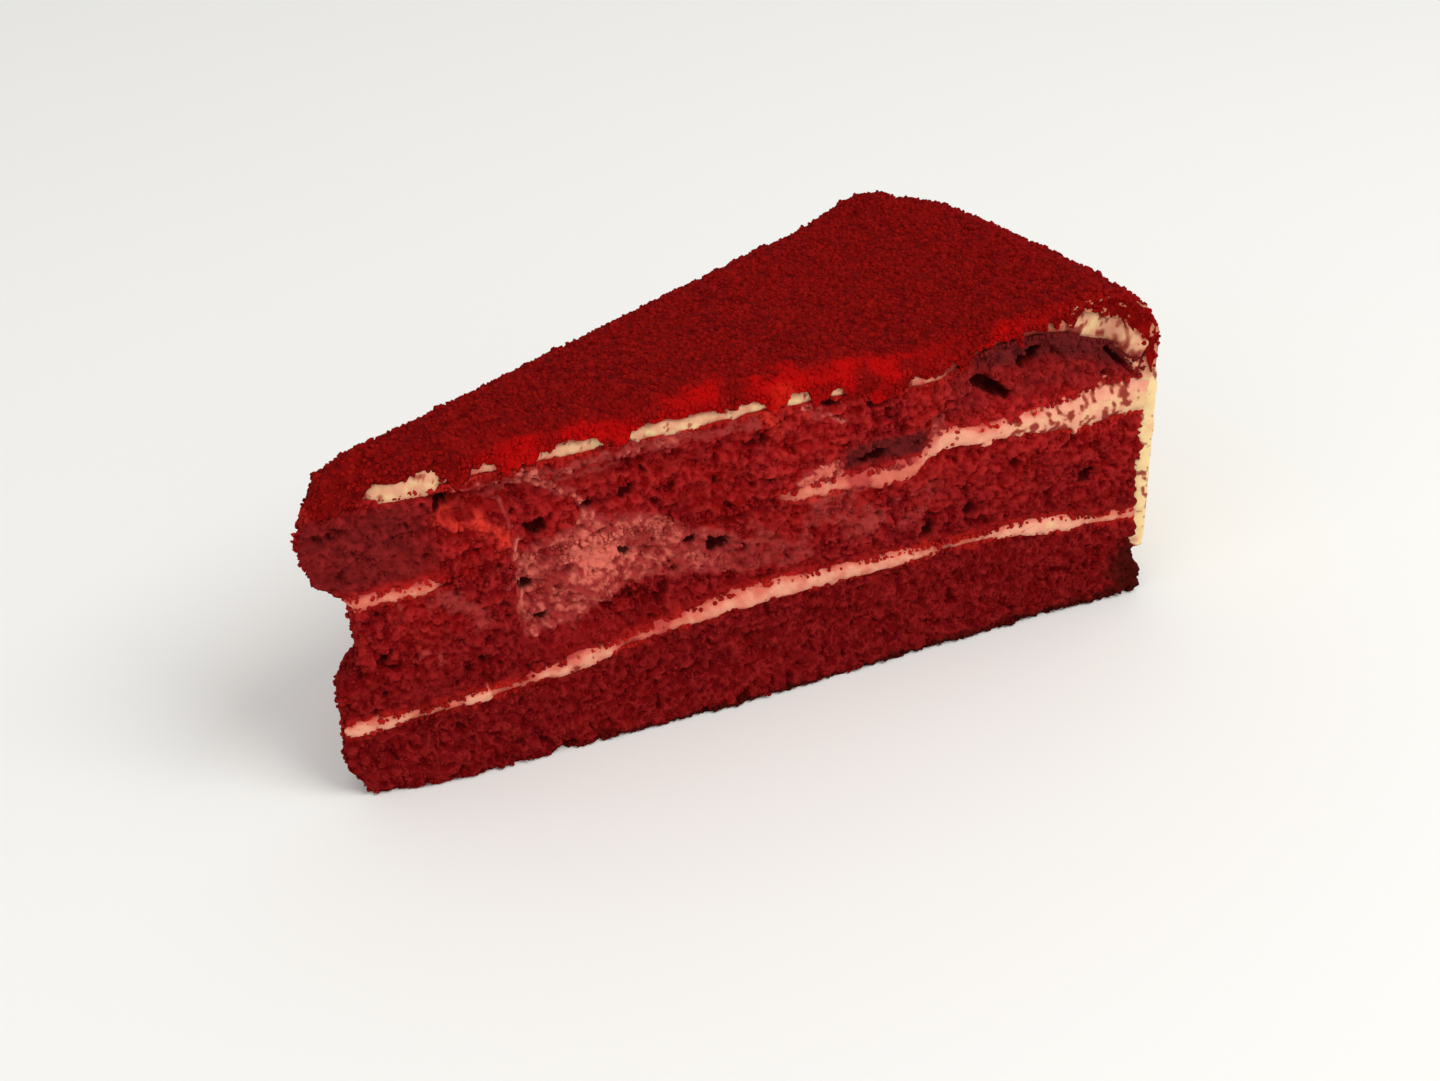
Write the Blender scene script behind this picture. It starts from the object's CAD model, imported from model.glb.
"""Looks of a cut slice of red velvet cake, in one frame with its solids.

Three layers of red sponge, two cream fillings, an icing coat over the top and the rim, and a coat of red
crumbs are each made again as a finer surface than their solid has. Every shape is worked out in millimetres,
in terms of the radius from the cake's centre, the side (-1 on the near cut face, 1 on the far one) and the
height. build_mesh turns millimetres into metres.

In every function, radius is the distance from the cake's centre, near is 1 on the near cut face and 0 on the
far one, height is above the base, share is 0 inside or below and 1 outside or above, and run is the distance
along the sponge's outline from the cake's centre, over the top and down the rim.
"""

import logging
import math
from collections.abc import Callable
from dataclasses import dataclass, field
from enum import Enum

import bpy
import numpy as np
from mathutils import Matrix, Vector


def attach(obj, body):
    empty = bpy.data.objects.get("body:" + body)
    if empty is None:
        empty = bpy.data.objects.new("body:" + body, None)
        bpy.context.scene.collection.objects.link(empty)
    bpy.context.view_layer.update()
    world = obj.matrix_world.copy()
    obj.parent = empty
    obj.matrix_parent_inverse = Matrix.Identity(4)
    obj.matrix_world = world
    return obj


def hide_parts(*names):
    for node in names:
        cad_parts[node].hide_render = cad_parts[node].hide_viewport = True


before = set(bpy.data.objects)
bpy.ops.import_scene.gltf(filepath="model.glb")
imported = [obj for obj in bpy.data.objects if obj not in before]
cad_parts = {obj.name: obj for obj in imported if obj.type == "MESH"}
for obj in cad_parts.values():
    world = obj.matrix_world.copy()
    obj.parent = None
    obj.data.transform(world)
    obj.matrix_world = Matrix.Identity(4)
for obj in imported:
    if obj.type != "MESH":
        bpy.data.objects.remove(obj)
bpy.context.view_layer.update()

LOG = logging.getLogger("red_velvet_cake")
MM = 0.001
BODY = "root"
Array = np.ndarray
Generator = np.random.Generator
Material = bpy.types.Material
Masks = dict[str, Array]
Colour = tuple[float, float, float]
Table = tuple[tuple[float, float], ...]


# ---- Curves and noise, over whole arrays ----

NOISE_GAIN = 1.6
OCTAVE_STRENGTH = 0.55


def smooth(value: Array, start: float, end: float) -> Array:
    """0 before start, 1 after end, and the even curve 3t^2 - 2t^3 between them."""
    share = np.clip((value - start) / (end - start), 0.0, 1.0)
    return share * share * (3.0 - 2.0 * share)


def fade(value: Array, start: float, end: float) -> Array:
    """1 before start, 0 after end, and the same curve between them."""
    return 1.0 - smooth(value, start, end)


def hump(value: Array, centre: float, half_width: float) -> Array:
    """1 at the centre, falling in an even curve to 0 at half_width on either side."""
    return fade(np.abs(value - centre), 0.0, half_width)


def plateau(value: Array, start: float, full: float, waning: float, end: float) -> Array:
    """0 before start, 1 from full to waning, and 0 after end."""
    return smooth(value, start, full) * fade(value, waning, end)


def span(value: Array, start: float, end: float, soft: float) -> Array:
    """1 between start and end and 0 outside, with soft edges of that width centred on them."""
    half = 0.5 * soft
    return plateau(value, start - half, start + half, end - half, end + half)


def blend(first: Array | float, second: Array | float, share: Array) -> Array:
    """first where share is 0, second where it is 1, and in proportion between."""
    return first + (second - first) * share


def bump(across: Array, up: Array | float = 0.0) -> Array:
    """A soft round spot: e to the power of minus the squared distance from its middle."""
    return np.exp(-(across**2) - up**2)


def read_off(table: Table, value: Array) -> Array:
    """The table's second column at this value of its first, joined by straight runs."""
    return np.interp(value, *np.array(table).T)


def mixed_bits(cell: Array, seed: int) -> Array:
    """64 well mixed bits for each lattice cell: its three whole numbers times large odd factors, folded and
    multiplied again.

    Args:
        cell: whole numbers, with the three coordinates last.
        seed: sets one pattern apart from another.

    Returns:
        One unsigned whole number for each cell.
    """
    whole = cell.astype(np.int64).astype(np.uint64)
    bits = whole[..., 0] * np.uint64(0x9E3779B97F4A7C15)
    bits ^= whole[..., 1] * np.uint64(0xC2B2AE3D27D4EB4F)
    bits ^= whole[..., 2] * np.uint64(0x165667B19E3779F9)
    bits += np.uint64(seed * 0x27D4EB2F165667C5 & 0xFFFFFFFFFFFFFFFF)
    bits = (bits ^ (bits >> np.uint64(29))) * np.uint64(0xBF58476D1CE4E5B9)
    bits = (bits ^ (bits >> np.uint64(32))) * np.uint64(0x94D049BB133111EB)
    return bits ^ (bits >> np.uint64(31))


def share_of(bits: Array, part: int) -> Array:
    """The 16 bits at this part (0 to 3) of each number, as a share from 0 to 1."""
    return ((bits >> np.uint64(16 * part)) & np.uint64(0xFFFF)).astype(np.float64) / 65535.0


def lumps(points: Array, size: float, seed: int) -> Array:
    """Gradient noise from about -1 to 1: each lattice corner has a random slope, and the eight slopes round a
    point are blended by the curve 6t^5 - 15t^4 + 10t^3.

    Args:
        points: positions in millimetres, with the three coordinates last.
        size: the lattice's spacing in millimetres.
        seed: sets one pattern apart from another.

    Returns:
        One value for each point.
    """
    place = points / size
    corner = np.floor(place)
    inside = place - corner
    ease = inside**3 * (inside * (inside * 6.0 - 15.0) + 10.0)
    total = np.zeros(points.shape[:-1])
    for step in np.ndindex(2, 2, 2):
        offset = np.array(step)
        bits = mixed_bits(corner + offset, seed)
        slope = sum(
            (share_of(bits, axis) * 2.0 - 1.0) * (inside[..., axis] - step[axis]) for axis in range(3)
        )
        total += slope * np.prod(np.where(offset == 1, ease, 1.0 - ease), axis=-1)
    return total * NOISE_GAIN


def octaves(points: Array, size: float, seed: int, count: int) -> Array:
    """Noise summed over several octaves, each half the size and OCTAVE_STRENGTH times as strong as the last.

    Args:
        points: positions in millimetres, with the three coordinates last.
        size: the first octave's lattice spacing.
        seed: sets one pattern apart from another.
        count: how many octaves.

    Returns:
        One value for each point.
    """
    total = np.zeros(points.shape[:-1])
    strength = 1.0
    for octave in range(count):
        total += strength * lumps(points, size / 2.0**octave, seed + 101 * octave)
        strength *= OCTAVE_STRENGTH
    return total


def cells(points: Array, size: float, seed: int) -> tuple[Array, Array]:
    """Scattered centres, one at a random place in each lattice cell, and how near each point is to them.

    Args:
        points: positions in millimetres, with the three coordinates last.
        size: the lattice's spacing in millimetres.
        seed: sets one pattern apart from another.

    Returns:
        The distance to the nearest centre, in lattice spacings, and a random share that belongs to it.
    """
    place = points / size
    corner = np.floor(place)
    nearest = np.full(points.shape[:-1], math.inf)
    owner = np.zeros(points.shape[:-1])
    for step in np.ndindex(3, 3, 3):
        cell = corner + (np.array(step) - 1.0)
        bits = mixed_bits(cell, seed)
        squared = sum((cell[..., axis] + share_of(bits, axis) - place[..., axis]) ** 2 for axis in range(3))
        distance = np.sqrt(squared)
        closer = distance < nearest
        owner = np.where(closer, share_of(bits, 3), owner)
        nearest = np.where(closer, distance, nearest)
    return nearest, owner


# ---- The slice's own form, as its solids have it ----


def nearness(side: Array) -> Array:
    """1 on the near cut face, 0 on the far one."""
    return 0.5 * (1.0 - side)


def near_half(near: Array) -> Array:
    """1 on the near cut face, falling straight to 0 half way across the slice."""
    return np.clip(2.0 * near - 1.0, 0.0, 1.0)


def off_middle(share: Array) -> Array:
    """0 half way through the thickness, 1 at both its sides."""
    return np.abs(2.0 * share - 1.0)


@dataclass(frozen=True)
class SliceForm:
    """The clean wedge, the surfaces between its layers, and where its faces depart from it. Millimetres."""

    cake_radius: float = 144.8
    half_angle: float = math.radians(13.5)
    tip_radius: float = 9.0
    centre_x: float = -76.0
    centre_y: float = 1.6
    sponge_height: float = 50.3
    lower_cream_height: float = 12.2
    upper_cream_height: float = 34.0
    cream_thickness: float = 1.5
    icing_thickness: float = 2.2
    icing_at_edge: float = 1.4
    icing_in_corner: float = 1.7
    corner_drop_depth: float = 3.2
    icing_foot: float = 9.5
    crumbs_at_tip: float = 3.5
    crumbs_at_edge: float = 0.9
    crumbs_in_corner: float = 0.6
    edge_radius: float = 5.0
    far_corner: float = 17.0
    contact_gap: float = 0.3

    @property
    def sponge_radius(self) -> float:
        """Radius of the sponge, inside the icing."""
        return self.cake_radius - self.icing_thickness - self.contact_gap

    @property
    def edge_start(self) -> float:
        """Radius, and run, at which the rounding of the sponge's upper edge begins."""
        return self.sponge_radius - self.edge_radius

    @property
    def rim_start(self) -> float:
        """Run at which the rounding ends and the rim goes straight down."""
        return self.edge_start + 0.5 * math.pi * self.edge_radius

    def lower_cream(self, radius: Array, near: Array) -> tuple[Array, Array]:
        """The lower filling: a slow rise from the tip, a sag on the far face and a fall at the rim, with a
        swelling and two dabs.

        Args:
            radius: from the cake's centre.
            near: 1 on the near cut face.

        Returns:
            The height of the filling's middle and half its thickness.
        """
        rise = 6.4 * smooth(radius, 22.0, 82.0)
        fall = 2.6 * smooth(radius, 117.0, self.sponge_radius)
        sag = 1.2 * (1.0 - near) * hump(radius, 90.0, 50.0)
        swell = 1.0 * hump(radius, 84.0, 28.0)
        dabs = 0.9 * near * (hump(radius, 46.0, 6.0) + hump(radius, 127.0, 9.0))
        return self.lower_cream_height + rise - fall - sag, 0.5 * (self.cream_thickness + swell + dabs)

    def upper_cream(self, radius: Array, near: Array) -> tuple[Array, Array]:
        """The upper filling, which dips, steps up and widens towards the rim on the near face, and arches a
        little on the far one.

        Args:
            radius: from the cake's centre.
            near: 1 on the near cut face.

        Returns:
            The height of the filling's middle and half its thickness.
        """
        rise = 1.2 * smooth(radius, 66.0, 90.0)
        dip = 0.8 * near * hump(radius, 98.0, 7.0)
        step = near * (2.6 * smooth(radius, 101.0, 107.0) + 0.8 * hump(radius, 107.5, 6.0))
        rim_rise = 0.9 * near * smooth(radius, 128.0, self.sponge_radius)
        far_rise = 1.4 * (1.0 - near) * hump(radius, 62.0, 45.0)
        swell = 1.2 * hump(radius, 100.0, 24.0)
        rim_flare = (0.8 + 4.2 * near) * smooth(radius, 114.0, 134.0)
        middle = self.upper_cream_height + rise - dip + step + rim_rise + far_rise
        return middle, 0.5 * (self.cream_thickness + swell + rim_flare)

    def sponge_top(self, radius: Array, near: Array) -> Array:
        """Height that the coats lie at: level, less a sag where the near face is torn and a little on the far
        one.

        Args:
            radius: from the cake's centre.
            near: 1 on the near cut face.

        Returns:
            The height.
        """
        torn_sag = 1.6 * near * hump(radius, 102.0, 18.0)
        far_sag = 2.0 * (1.0 - near) ** 2 * fade(radius, 118.0, self.edge_start)
        return self.sponge_height - torn_sag - far_sag

    def corner_drop(self, radius: Array, near: Array) -> Array:
        """How much lower the sponge is at the near corner of the rim, under thicker icing."""
        along = smooth(radius, 126.0, 138.0) - 0.4 * smooth(radius, 138.0, self.sponge_radius)
        return self.corner_drop_depth * near_half(near) * along

    def sponge_skin(self, radius: Array, near: Array) -> Array:
        """Height of the sponge's own top, with its upper edge rounded to a quarter circle and its corner
        dropped.

        Args:
            radius: from the cake's centre.
            near: 1 on the near cut face.

        Returns:
            The height.
        """
        into_edge = np.clip(radius - self.edge_start, 0.0, self.edge_radius)
        edge_drop = self.edge_radius - np.sqrt(self.edge_radius**2 - into_edge**2)
        return self.sponge_top(radius, near) - edge_drop - self.corner_drop(radius, near)

    def ragged_radius(self, radius: Array, near: Array, height: Array) -> Array:
        """Radius once the tip is notched, rounded off and overhanging, and the foot stands out at the rim: a
        sum of humps over the height that fade away from the tip and the rim.

        Args:
            radius: on the clean wedge.
            near: 1 on the near cut face.
            height: above the base.

        Returns:
            The radius that the point moves to.
        """
        to_tip = fade(radius, self.tip_radius, self.tip_radius + 14.0)
        notch = (0.9 + 3.8 * smooth(height, 20.0, 23.0)) * fade(height, 33.0, 39.5)
        overhang = 1.6 * hump(height, 45.0, 8.0)
        foot = 2.8 * fade(height, 0.0, 5.5)
        crown = 3.0 * smooth(height, 47.0, 57.0)
        far_side = 2.4 * (1.0 - near) ** 2
        to_rim = smooth(radius, self.sponge_radius - 8.0, self.sponge_radius)
        rim_foot = 1.6 * fade(height, 3.0, self.icing_foot - 1.0)
        return radius + to_tip * (notch - overhang + foot + crown + far_side) + to_rim * rim_foot

    def near_set_back(self, radius: Array, height: Array) -> Array:
        """How far the near face lies behind its plane: a broken recess, the pit beside it and the torn upper
        edge, each a product of one plateau along the face and one up it.

        Args:
            radius: from the cake's centre.
            height: above the base.

        Returns:
            The distance behind the plane.
        """
        recess = 2.6 * plateau(radius, 36.8, 38.4, 58.0, 88.0) * plateau(height, 17.0, 22.0, 45.0, 49.5)
        pit = 2.6 * plateau(radius, 26.0, 28.0, 36.0, 40.0) * plateau(height, 43.5, 45.0, 48.0, 49.5)
        torn_edge = 4.2 * plateau(radius, 105.0, 118.0, 136.0, 142.0) * smooth(height, 38.0, 51.0)
        return recess + pit + torn_edge

    def rounded_corner(self, radius: Array, side: Array) -> tuple[Array, Array]:
        """Radius and side once the far corner of the rim is rounded in plan: within the corner's square, the
        distances in from its two inner sides are both scaled by the larger over their hypotenuse, which turns
        the square's outline into a quarter circle.

        Args:
            radius: from the cake's centre.
            side: -1 on the near cut face, 1 on the far one.

        Returns:
            The moved radius and side.
        """
        arc = self.half_angle * self.cake_radius
        outwards = np.clip(1.0 - (self.cake_radius - radius) / self.far_corner, 0.0, None)
        sideways = np.clip(1.0 - (1.0 - side) * arc / self.far_corner, 0.0, None)
        both = np.maximum(np.hypot(outwards, sideways), 1e-9)
        within = (outwards > 0.0) * (sideways > 0.0)
        cut = self.far_corner * (1.0 - np.maximum(outwards, sideways) / both) * within
        return radius - cut * outwards, side - cut * sideways / arc

    def position(self, radius: Array, side: Array, height: Array) -> Array:
        """The point at this radius, side and height: the side times half the wedge's angle is its bearing.

        Args:
            radius: from the cake's centre.
            side: -1 on the near cut face, 1 on the far one.
            height: above the base.

        Returns:
            Points in millimetres, with the three coordinates last.
        """
        radius, side = self.rounded_corner(radius, side)
        bearing = side * self.half_angle
        along = radius * np.cos(bearing) + self.centre_x
        across = radius * np.sin(bearing) + self.centre_y
        return np.stack([along, across, np.broadcast_to(height, radius.shape)], axis=-1)

    def coat_section(self, run: Array, near: Array, lift: Array) -> tuple[Array, Array]:
        """Radius and height of a point on a coat: over the top to the edge, a quarter circle round the edge,
        then straight down the rim.

        Args:
            run: along the sponge's outline.
            near: 1 on the near cut face.
            lift: how far outside the sponge the point lies.

        Returns:
            The radius and the height.
        """
        flat = np.minimum(run, self.edge_start)
        turn = np.clip((run - self.edge_start) / self.edge_radius, 0.0, 0.5 * math.pi)
        down = np.clip(run - self.edge_start - 0.5 * math.pi * self.edge_radius, 0.0, None)
        level = self.sponge_top(flat, near) - self.edge_radius
        return (flat + (self.edge_radius + lift) * np.sin(turn),
                level + (self.edge_radius + lift) * np.cos(turn) - down)

    def icing_at(self, run: Array, near: Array) -> Array:
        """Thickness of the icing: thinner where it turns over the edge under the crumbs, and thicker on top
        at the near corner of the rim.

        Args:
            run: along the sponge's outline.
            near: 1 on the near cut face.

        Returns:
            The thickness.
        """
        thinner = smooth(run, 0.6 * self.edge_start, self.edge_start)
        thinner = thinner - smooth(run, self.rim_start, self.rim_start + 6.0)
        in_corner = hump(run, self.edge_start, 19.0) * fade(run, self.edge_start, self.rim_start)
        in_corner = self.icing_in_corner * in_corner * near_half(near)
        return blend(self.icing_thickness, self.icing_at_edge, thinner) + in_corner

    def crumbs_at(self, run: Array, near: Array) -> Array:
        """Thickness of the crumb coat: thinner towards the edge, with more at the near corner of the rim.

        Args:
            run: along the sponge's outline.
            near: 1 on the near cut face.

        Returns:
            The thickness.
        """
        thickness = blend(self.crumbs_at_tip, self.crumbs_at_edge,
                          smooth(run, self.tip_radius, self.edge_start))
        return thickness + self.crumbs_in_corner * near**2 * hump(run, self.edge_start + 2.0, 20.0)


FORM = SliceForm()
RIM_END = FORM.rim_start + FORM.sponge_height - FORM.edge_radius - FORM.icing_foot
COAT_REACH = 14.0


@dataclass(frozen=True)
class Spots:
    """Places on the slice: points in millimetres, with the three coordinates last, and the radius and the
    side that each has on the wedge."""

    points: Array
    radius: Array
    side: Array

    @classmethod
    def at(cls, radius: Array, side: Array, height: Array) -> "Spots":
        """The places at this radius, side and height."""
        return cls(FORM.position(radius, side, height), radius, side)

    @property
    def height(self) -> Array:
        """Height above the base."""
        return self.points[..., 2]

    @property
    def on_near(self) -> Array:
        """1 on and close to the near cut face, 0 elsewhere."""
        return smooth(-self.side, 0.7, 0.95)

    def noise(self, size: float, seed: int, count: int) -> Array:
        """Noise of several octaves at these places."""
        return octaves(self.points, size, seed, count)

    def pushed(self, outward: Array, reach: float) -> "Spots":
        """These places moved straight out from whichever cut face they are nearer to. The move is whole on
        the face and falls off as the square of the distance left to reach.

        Args:
            outward: how far a place on the face moves.
            reach: how deep in the slice places still move.

        Returns:
            The moved places.
        """
        half = FORM.half_angle
        to_face = (1.0 - np.abs(self.side)) * self.radius * half
        weight = np.clip(1.0 - to_face / reach, 0.0, 1.0) ** 2
        inward = np.full(self.side.shape, -math.sin(half))
        facing = np.stack([inward, np.sign(self.side) * math.cos(half)], axis=-1)
        moved = self.points.copy()
        moved[..., :2] += facing * (outward * weight)[..., None]
        return Spots(moved, self.radius, self.side)

    def set_back(self) -> "Spots":
        """These places of a coat drawn in where the near face is torn, so deep that nothing folds."""
        return self.pushed(-face_set_back(self), COAT_REACH)


# ---- Meshes ----


@dataclass
class Surface:
    """A mesh as arrays: points in millimetres, faces as index rows of one length each, and masks on the
    points."""

    points: Array
    faces: list[Array]
    masks: Masks = field(default_factory=dict)


def sheet_faces(index: Array, flip: bool = False) -> Array:
    """Four-sided faces between the neighbours of a grid of point numbers, turned over where flip is true."""
    rows = np.stack([index[:-1, :-1], index[1:, :-1], index[1:, 1:], index[:-1, 1:]], axis=-1).reshape(-1, 4)
    return rows[:, ::-1] if flip else rows


def block_lattice(rows: tuple[int, int, int]) -> tuple[Array, Array]:
    """The outer skin of a block cut into rows three ways.

    Args:
        rows: how many there are from the tip to the rim, from the near face to the far one, and upwards.

    Returns:
        The three row numbers of each point of the skin, and its faces, which point outwards.
    """
    index = np.arange(math.prod(count + 1 for count in rows)).reshape([count + 1 for count in rows])
    faces = np.concatenate([
        sheet_faces(index[:, :, 0], flip=True),
        sheet_faces(index[:, :, -1]),
        sheet_faces(index[:, 0, :]),
        sheet_faces(index[:, -1, :], flip=True),
        sheet_faces(index[0, :, :], flip=True),
        sheet_faces(index[-1, :, :]),
    ])
    used, compact = np.unique(faces, return_inverse=True)
    return np.stack(np.unravel_index(used, index.shape), axis=-1), compact.reshape(-1, 4)


def build_mesh(name: str, surface: Surface, material: Material) -> bpy.types.Object:
    """Makes an object of a surface, dresses it, and lets it ride with the slice.

    Args:
        name: the piece's name.
        surface: what it is made of.
        material: its finish.

    Returns:
        The finished object, which sits at the origin.
    """
    mesh = bpy.data.meshes.new(name)
    corners = np.concatenate([rows.ravel() for rows in surface.faces])
    sizes = np.concatenate([np.full(len(rows), rows.shape[1]) for rows in surface.faces])
    mesh.vertices.add(len(surface.points))
    mesh.vertices.foreach_set("co", (surface.points * MM).astype(np.float32).ravel())
    mesh.loops.add(len(corners))
    mesh.loops.foreach_set("vertex_index", corners.astype(np.int32))
    mesh.polygons.add(len(sizes))
    mesh.polygons.foreach_set("loop_start", (np.cumsum(sizes) - sizes).astype(np.int32))
    for mask, values in surface.masks.items():
        layer = mesh.attributes.new(mask, "FLOAT", "POINT")
        layer.data.foreach_set("value", values.astype(np.float32))
    mesh.update(calc_edges=True)
    mesh.shade_smooth()
    mesh.materials.append(material)
    piece = bpy.data.objects.new(name, mesh)
    bpy.context.scene.collection.objects.link(piece)
    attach(piece, BODY)
    LOG.info("%s: %d points, %d faces", name, len(surface.points), len(sizes))
    return piece


@dataclass
class Piece:
    """A piece that stands for one node of the solids: its own name, the node's, its material slot, and the
    seed of its noise."""

    name: str
    node: str
    slot: str
    seed: int

    def surface(self) -> Surface:
        """The piece's closed surface."""
        raise NotImplementedError

    def build(self, material: Material) -> bpy.types.Object:
        """Makes the piece's object in place of its node.

        Args:
            material: the piece's finish.

        Returns:
            The finished piece.
        """
        piece = build_mesh(self.name, self.surface(), material)
        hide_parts(self.node)
        return piece


# ---- Relief of the cut faces ----


@dataclass(frozen=True)
class Hollow:
    """A hole or crevice in the near face: where it is, how wide and deep, how much longer than wide, and its
    tilt."""

    radius: float
    height: float
    size: float
    depth: float
    stretch: float = 1.0
    tilt: float = 0.0


@dataclass(frozen=True)
class Mark:
    """A soft line drawn on the near face: the radius and height of each point of its path, how far it reaches
    to either side, and its strength."""

    path: Table
    width: float
    strength: float

    def drawn(self, radius: Array, height: Array) -> Array:
        """The mark's strength on its path and 0 beyond its width, by the distance to the path's nearest run.

        Args:
            radius: from the cake's centre.
            height: above the base.

        Returns:
            Its strength there.
        """
        nearest = np.full(radius.shape, math.inf)
        for (r0, h0), (r1, h1) in zip(self.path, self.path[1:]):
            length = math.hypot(r1 - r0, h1 - h0)
            along = ((radius - r0) * (r1 - r0) + (height - h0) * (h1 - h0)) / length**2
            share = np.clip(along, 0.0, 1.0)
            away = np.hypot(radius - r0 - share * (r1 - r0), height - h0 - share * (h1 - h0))
            nearest = np.minimum(nearest, away)
        return self.strength * fade(nearest, 0.35 * self.width, self.width)


HOLLOWS = tuple(Hollow(*sizes) for sizes in (
    (27.8, 46.9, 1.5, 2.2, 1.3, 0.2), (41.8, 38.2, 1.5, 2.0, 1.5, -0.2), (50.0, 40.0, 1.1, 1.3, 1.2),
    (55.8, 40.6, 1.2, 1.8, 1.6, 0.3), (55.2, 30.4, 1.2, 1.7, 1.0, 0.5), (39.6, 28.8, 1.3, 1.8, 1.5, 0.1),
    (41.6, 22.6, 1.2, 1.5, 1.1), (65.6, 30.0, 1.1, 1.5, 1.3), (69.8, 28.5, 1.8, 2.1, 1.25, 0.2),
    (16.6, 23.6, 0.9, 1.6, 1.6, -0.4), (104.0, 22.3, 1.6, 2.2, 0.95), (132.7, 25.4, 1.7, 1.9, 1.15),
    (111.6, 24.4, 1.2, 1.2, 1.3), (76.9, 45.8, 1.1, 1.2, 1.2), (115.6, 44.6, 1.3, 2.6, 3.4, -0.5),
    (114.0, 45.6, 1.5, 2.2, 1.4, -0.3), (122.8, 47.4, 1.2, 2.6, 2.5, 0.4), (137.6, 45.0, 0.8, 1.6, 3.0, -0.9),
    (95.0, 38.6, 1.3, 1.6, 2.4, 0.1), (87.6, 49.4, 0.9, 1.8, 2.6, -0.36), (96.0, 47.6, 0.8, 1.2, 3.0, -0.1),
    (31.5, 19.2, 1.0, 1.2, 1.3), (35.6, 27.9, 0.9, 1.0, 1.1),
))
FILM_TOP = ((36.0, 34.5), (40.0, 36.0), (47.8, 37.4), (54.0, 38.2), (60.2, 36.4), (66.3, 32.5), (72.7, 29.5),
            (79.2, 27.5), (85.0, 26.0))
FILM_FOOT = ((36.0, 20.5), (41.0, 20.0), (50.0, 21.5), (56.0, 24.0), (64.0, 24.0), (72.0, 22.5), (85.0, 22.5))
DRAG_MARKS = (
    Mark(((38.3, 37.5), (38.1, 31.0), (38.9, 26.0), (40.2, 20.8)), 1.1, 0.85),
    Mark(((40.8, 49.4), (42.6, 46.4), (45.4, 44.0), (49.4, 41.6), (50.8, 39.2), (48.6, 37.2)), 1.3, 0.75),
    Mark(((33.0, 48.6), (36.0, 47.2), (42.0, 48.2), (50.0, 49.0), (64.0, 49.8)), 1.5, 0.62),
    Mark(((29.8, 49.4), (31.6, 48.3), (33.4, 48.9)), 0.9, 0.7),
    Mark(((45.2, 46.6), (49.5, 46.0), (55.0, 46.9)), 1.2, 0.45),
    Mark(((34.6, 46.6), (36.4, 43.5), (37.8, 40.5)), 0.9, 0.55),
    Mark(((86.0, 33.0), (96.0, 34.6), (104.0, 36.5)), 1.4, 0.5),
    Mark(((83.4, 36.8), (86.0, 37.6), (88.2, 38.6)), 1.5, 1.1),
    Mark(((88.2, 38.8), (89.4, 36.8)), 1.3, 1.0),
    Mark(((83.6, 49.8), (86.0, 48.2), (89.6, 46.6)), 0.8, 0.75),
    Mark(((104.6, 40.2), (107.2, 41.9)), 1.1, 0.8),
    Mark(((56.0, 49.6), (66.0, 48.4), (75.0, 49.4)), 1.6, 0.42),
    Mark(((25.8, 31.6), (29.2, 29.6), (31.6, 26.4)), 2.6, 0.42),
    Mark(((86.4, 48.6), (88.4, 51.4), (90.8, 50.6)), 0.9, 0.6),
)
LIT_MARKS = (
    Mark(((27.6, 45.0), (29.8, 43.6), (32.6, 43.2), (35.0, 42.0), (36.4, 39.8), (36.8, 37.4)), 1.6, 1.0),
    Mark(((77.0, 50.6), (78.0, 48.2), (79.6, 46.8)), 1.1, 0.8),
    Mark(((81.0, 49.6), (84.0, 48.6)), 0.9, 0.6),
    Mark(((85.0, 33.4), (90.0, 34.0), (93.5, 35.4)), 1.2, 0.8),
)


def hollow_depth(spots: Spots) -> Array:
    """How deep the named hollows are at each place on the near face: each is an ellipse with a noisy outline,
    flat inside and rising evenly to its edge.

    Args:
        spots: places on the near face.

    Returns:
        The depth in millimetres, 0 away from every hollow.
    """
    wobble = 0.35 * spots.noise(1.4, 51, 2)
    depth = np.zeros(spots.radius.shape)
    for hollow in HOLLOWS:
        along, up = spots.radius - hollow.radius, spots.height - hollow.height
        turned = along * math.cos(hollow.tilt) + up * math.sin(hollow.tilt)
        raised = up * math.cos(hollow.tilt) - along * math.sin(hollow.tilt)
        reach = np.hypot(turned / (hollow.size * hollow.stretch), raised / hollow.size) + wobble
        depth = np.maximum(depth, hollow.depth * fade(reach, 0.45, 1.05))
    return depth


def face_set_back(spots: Spots) -> Array:
    """How far a cut face lies behind its plane. The near face's recess, pit and torn edge have their outlines
    bent by noise, and it stands out a little towards its foot; the far face is flat.

    Args:
        spots: places on a cut face.

    Returns:
        The distance behind the plane.
    """
    bent_radius = spots.radius + 1.1 * spots.noise(4.0, 61, 2)
    bent_height = spots.height + 0.9 * spots.noise(3.4, 67, 2)
    spread = 2.3 * plateau(spots.radius, 6.0, 26.0, 60.0, 138.0) * fade(spots.height, 0.0, 11.0)
    return (FORM.near_set_back(bent_radius, bent_height) - spread) * spots.on_near


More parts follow.
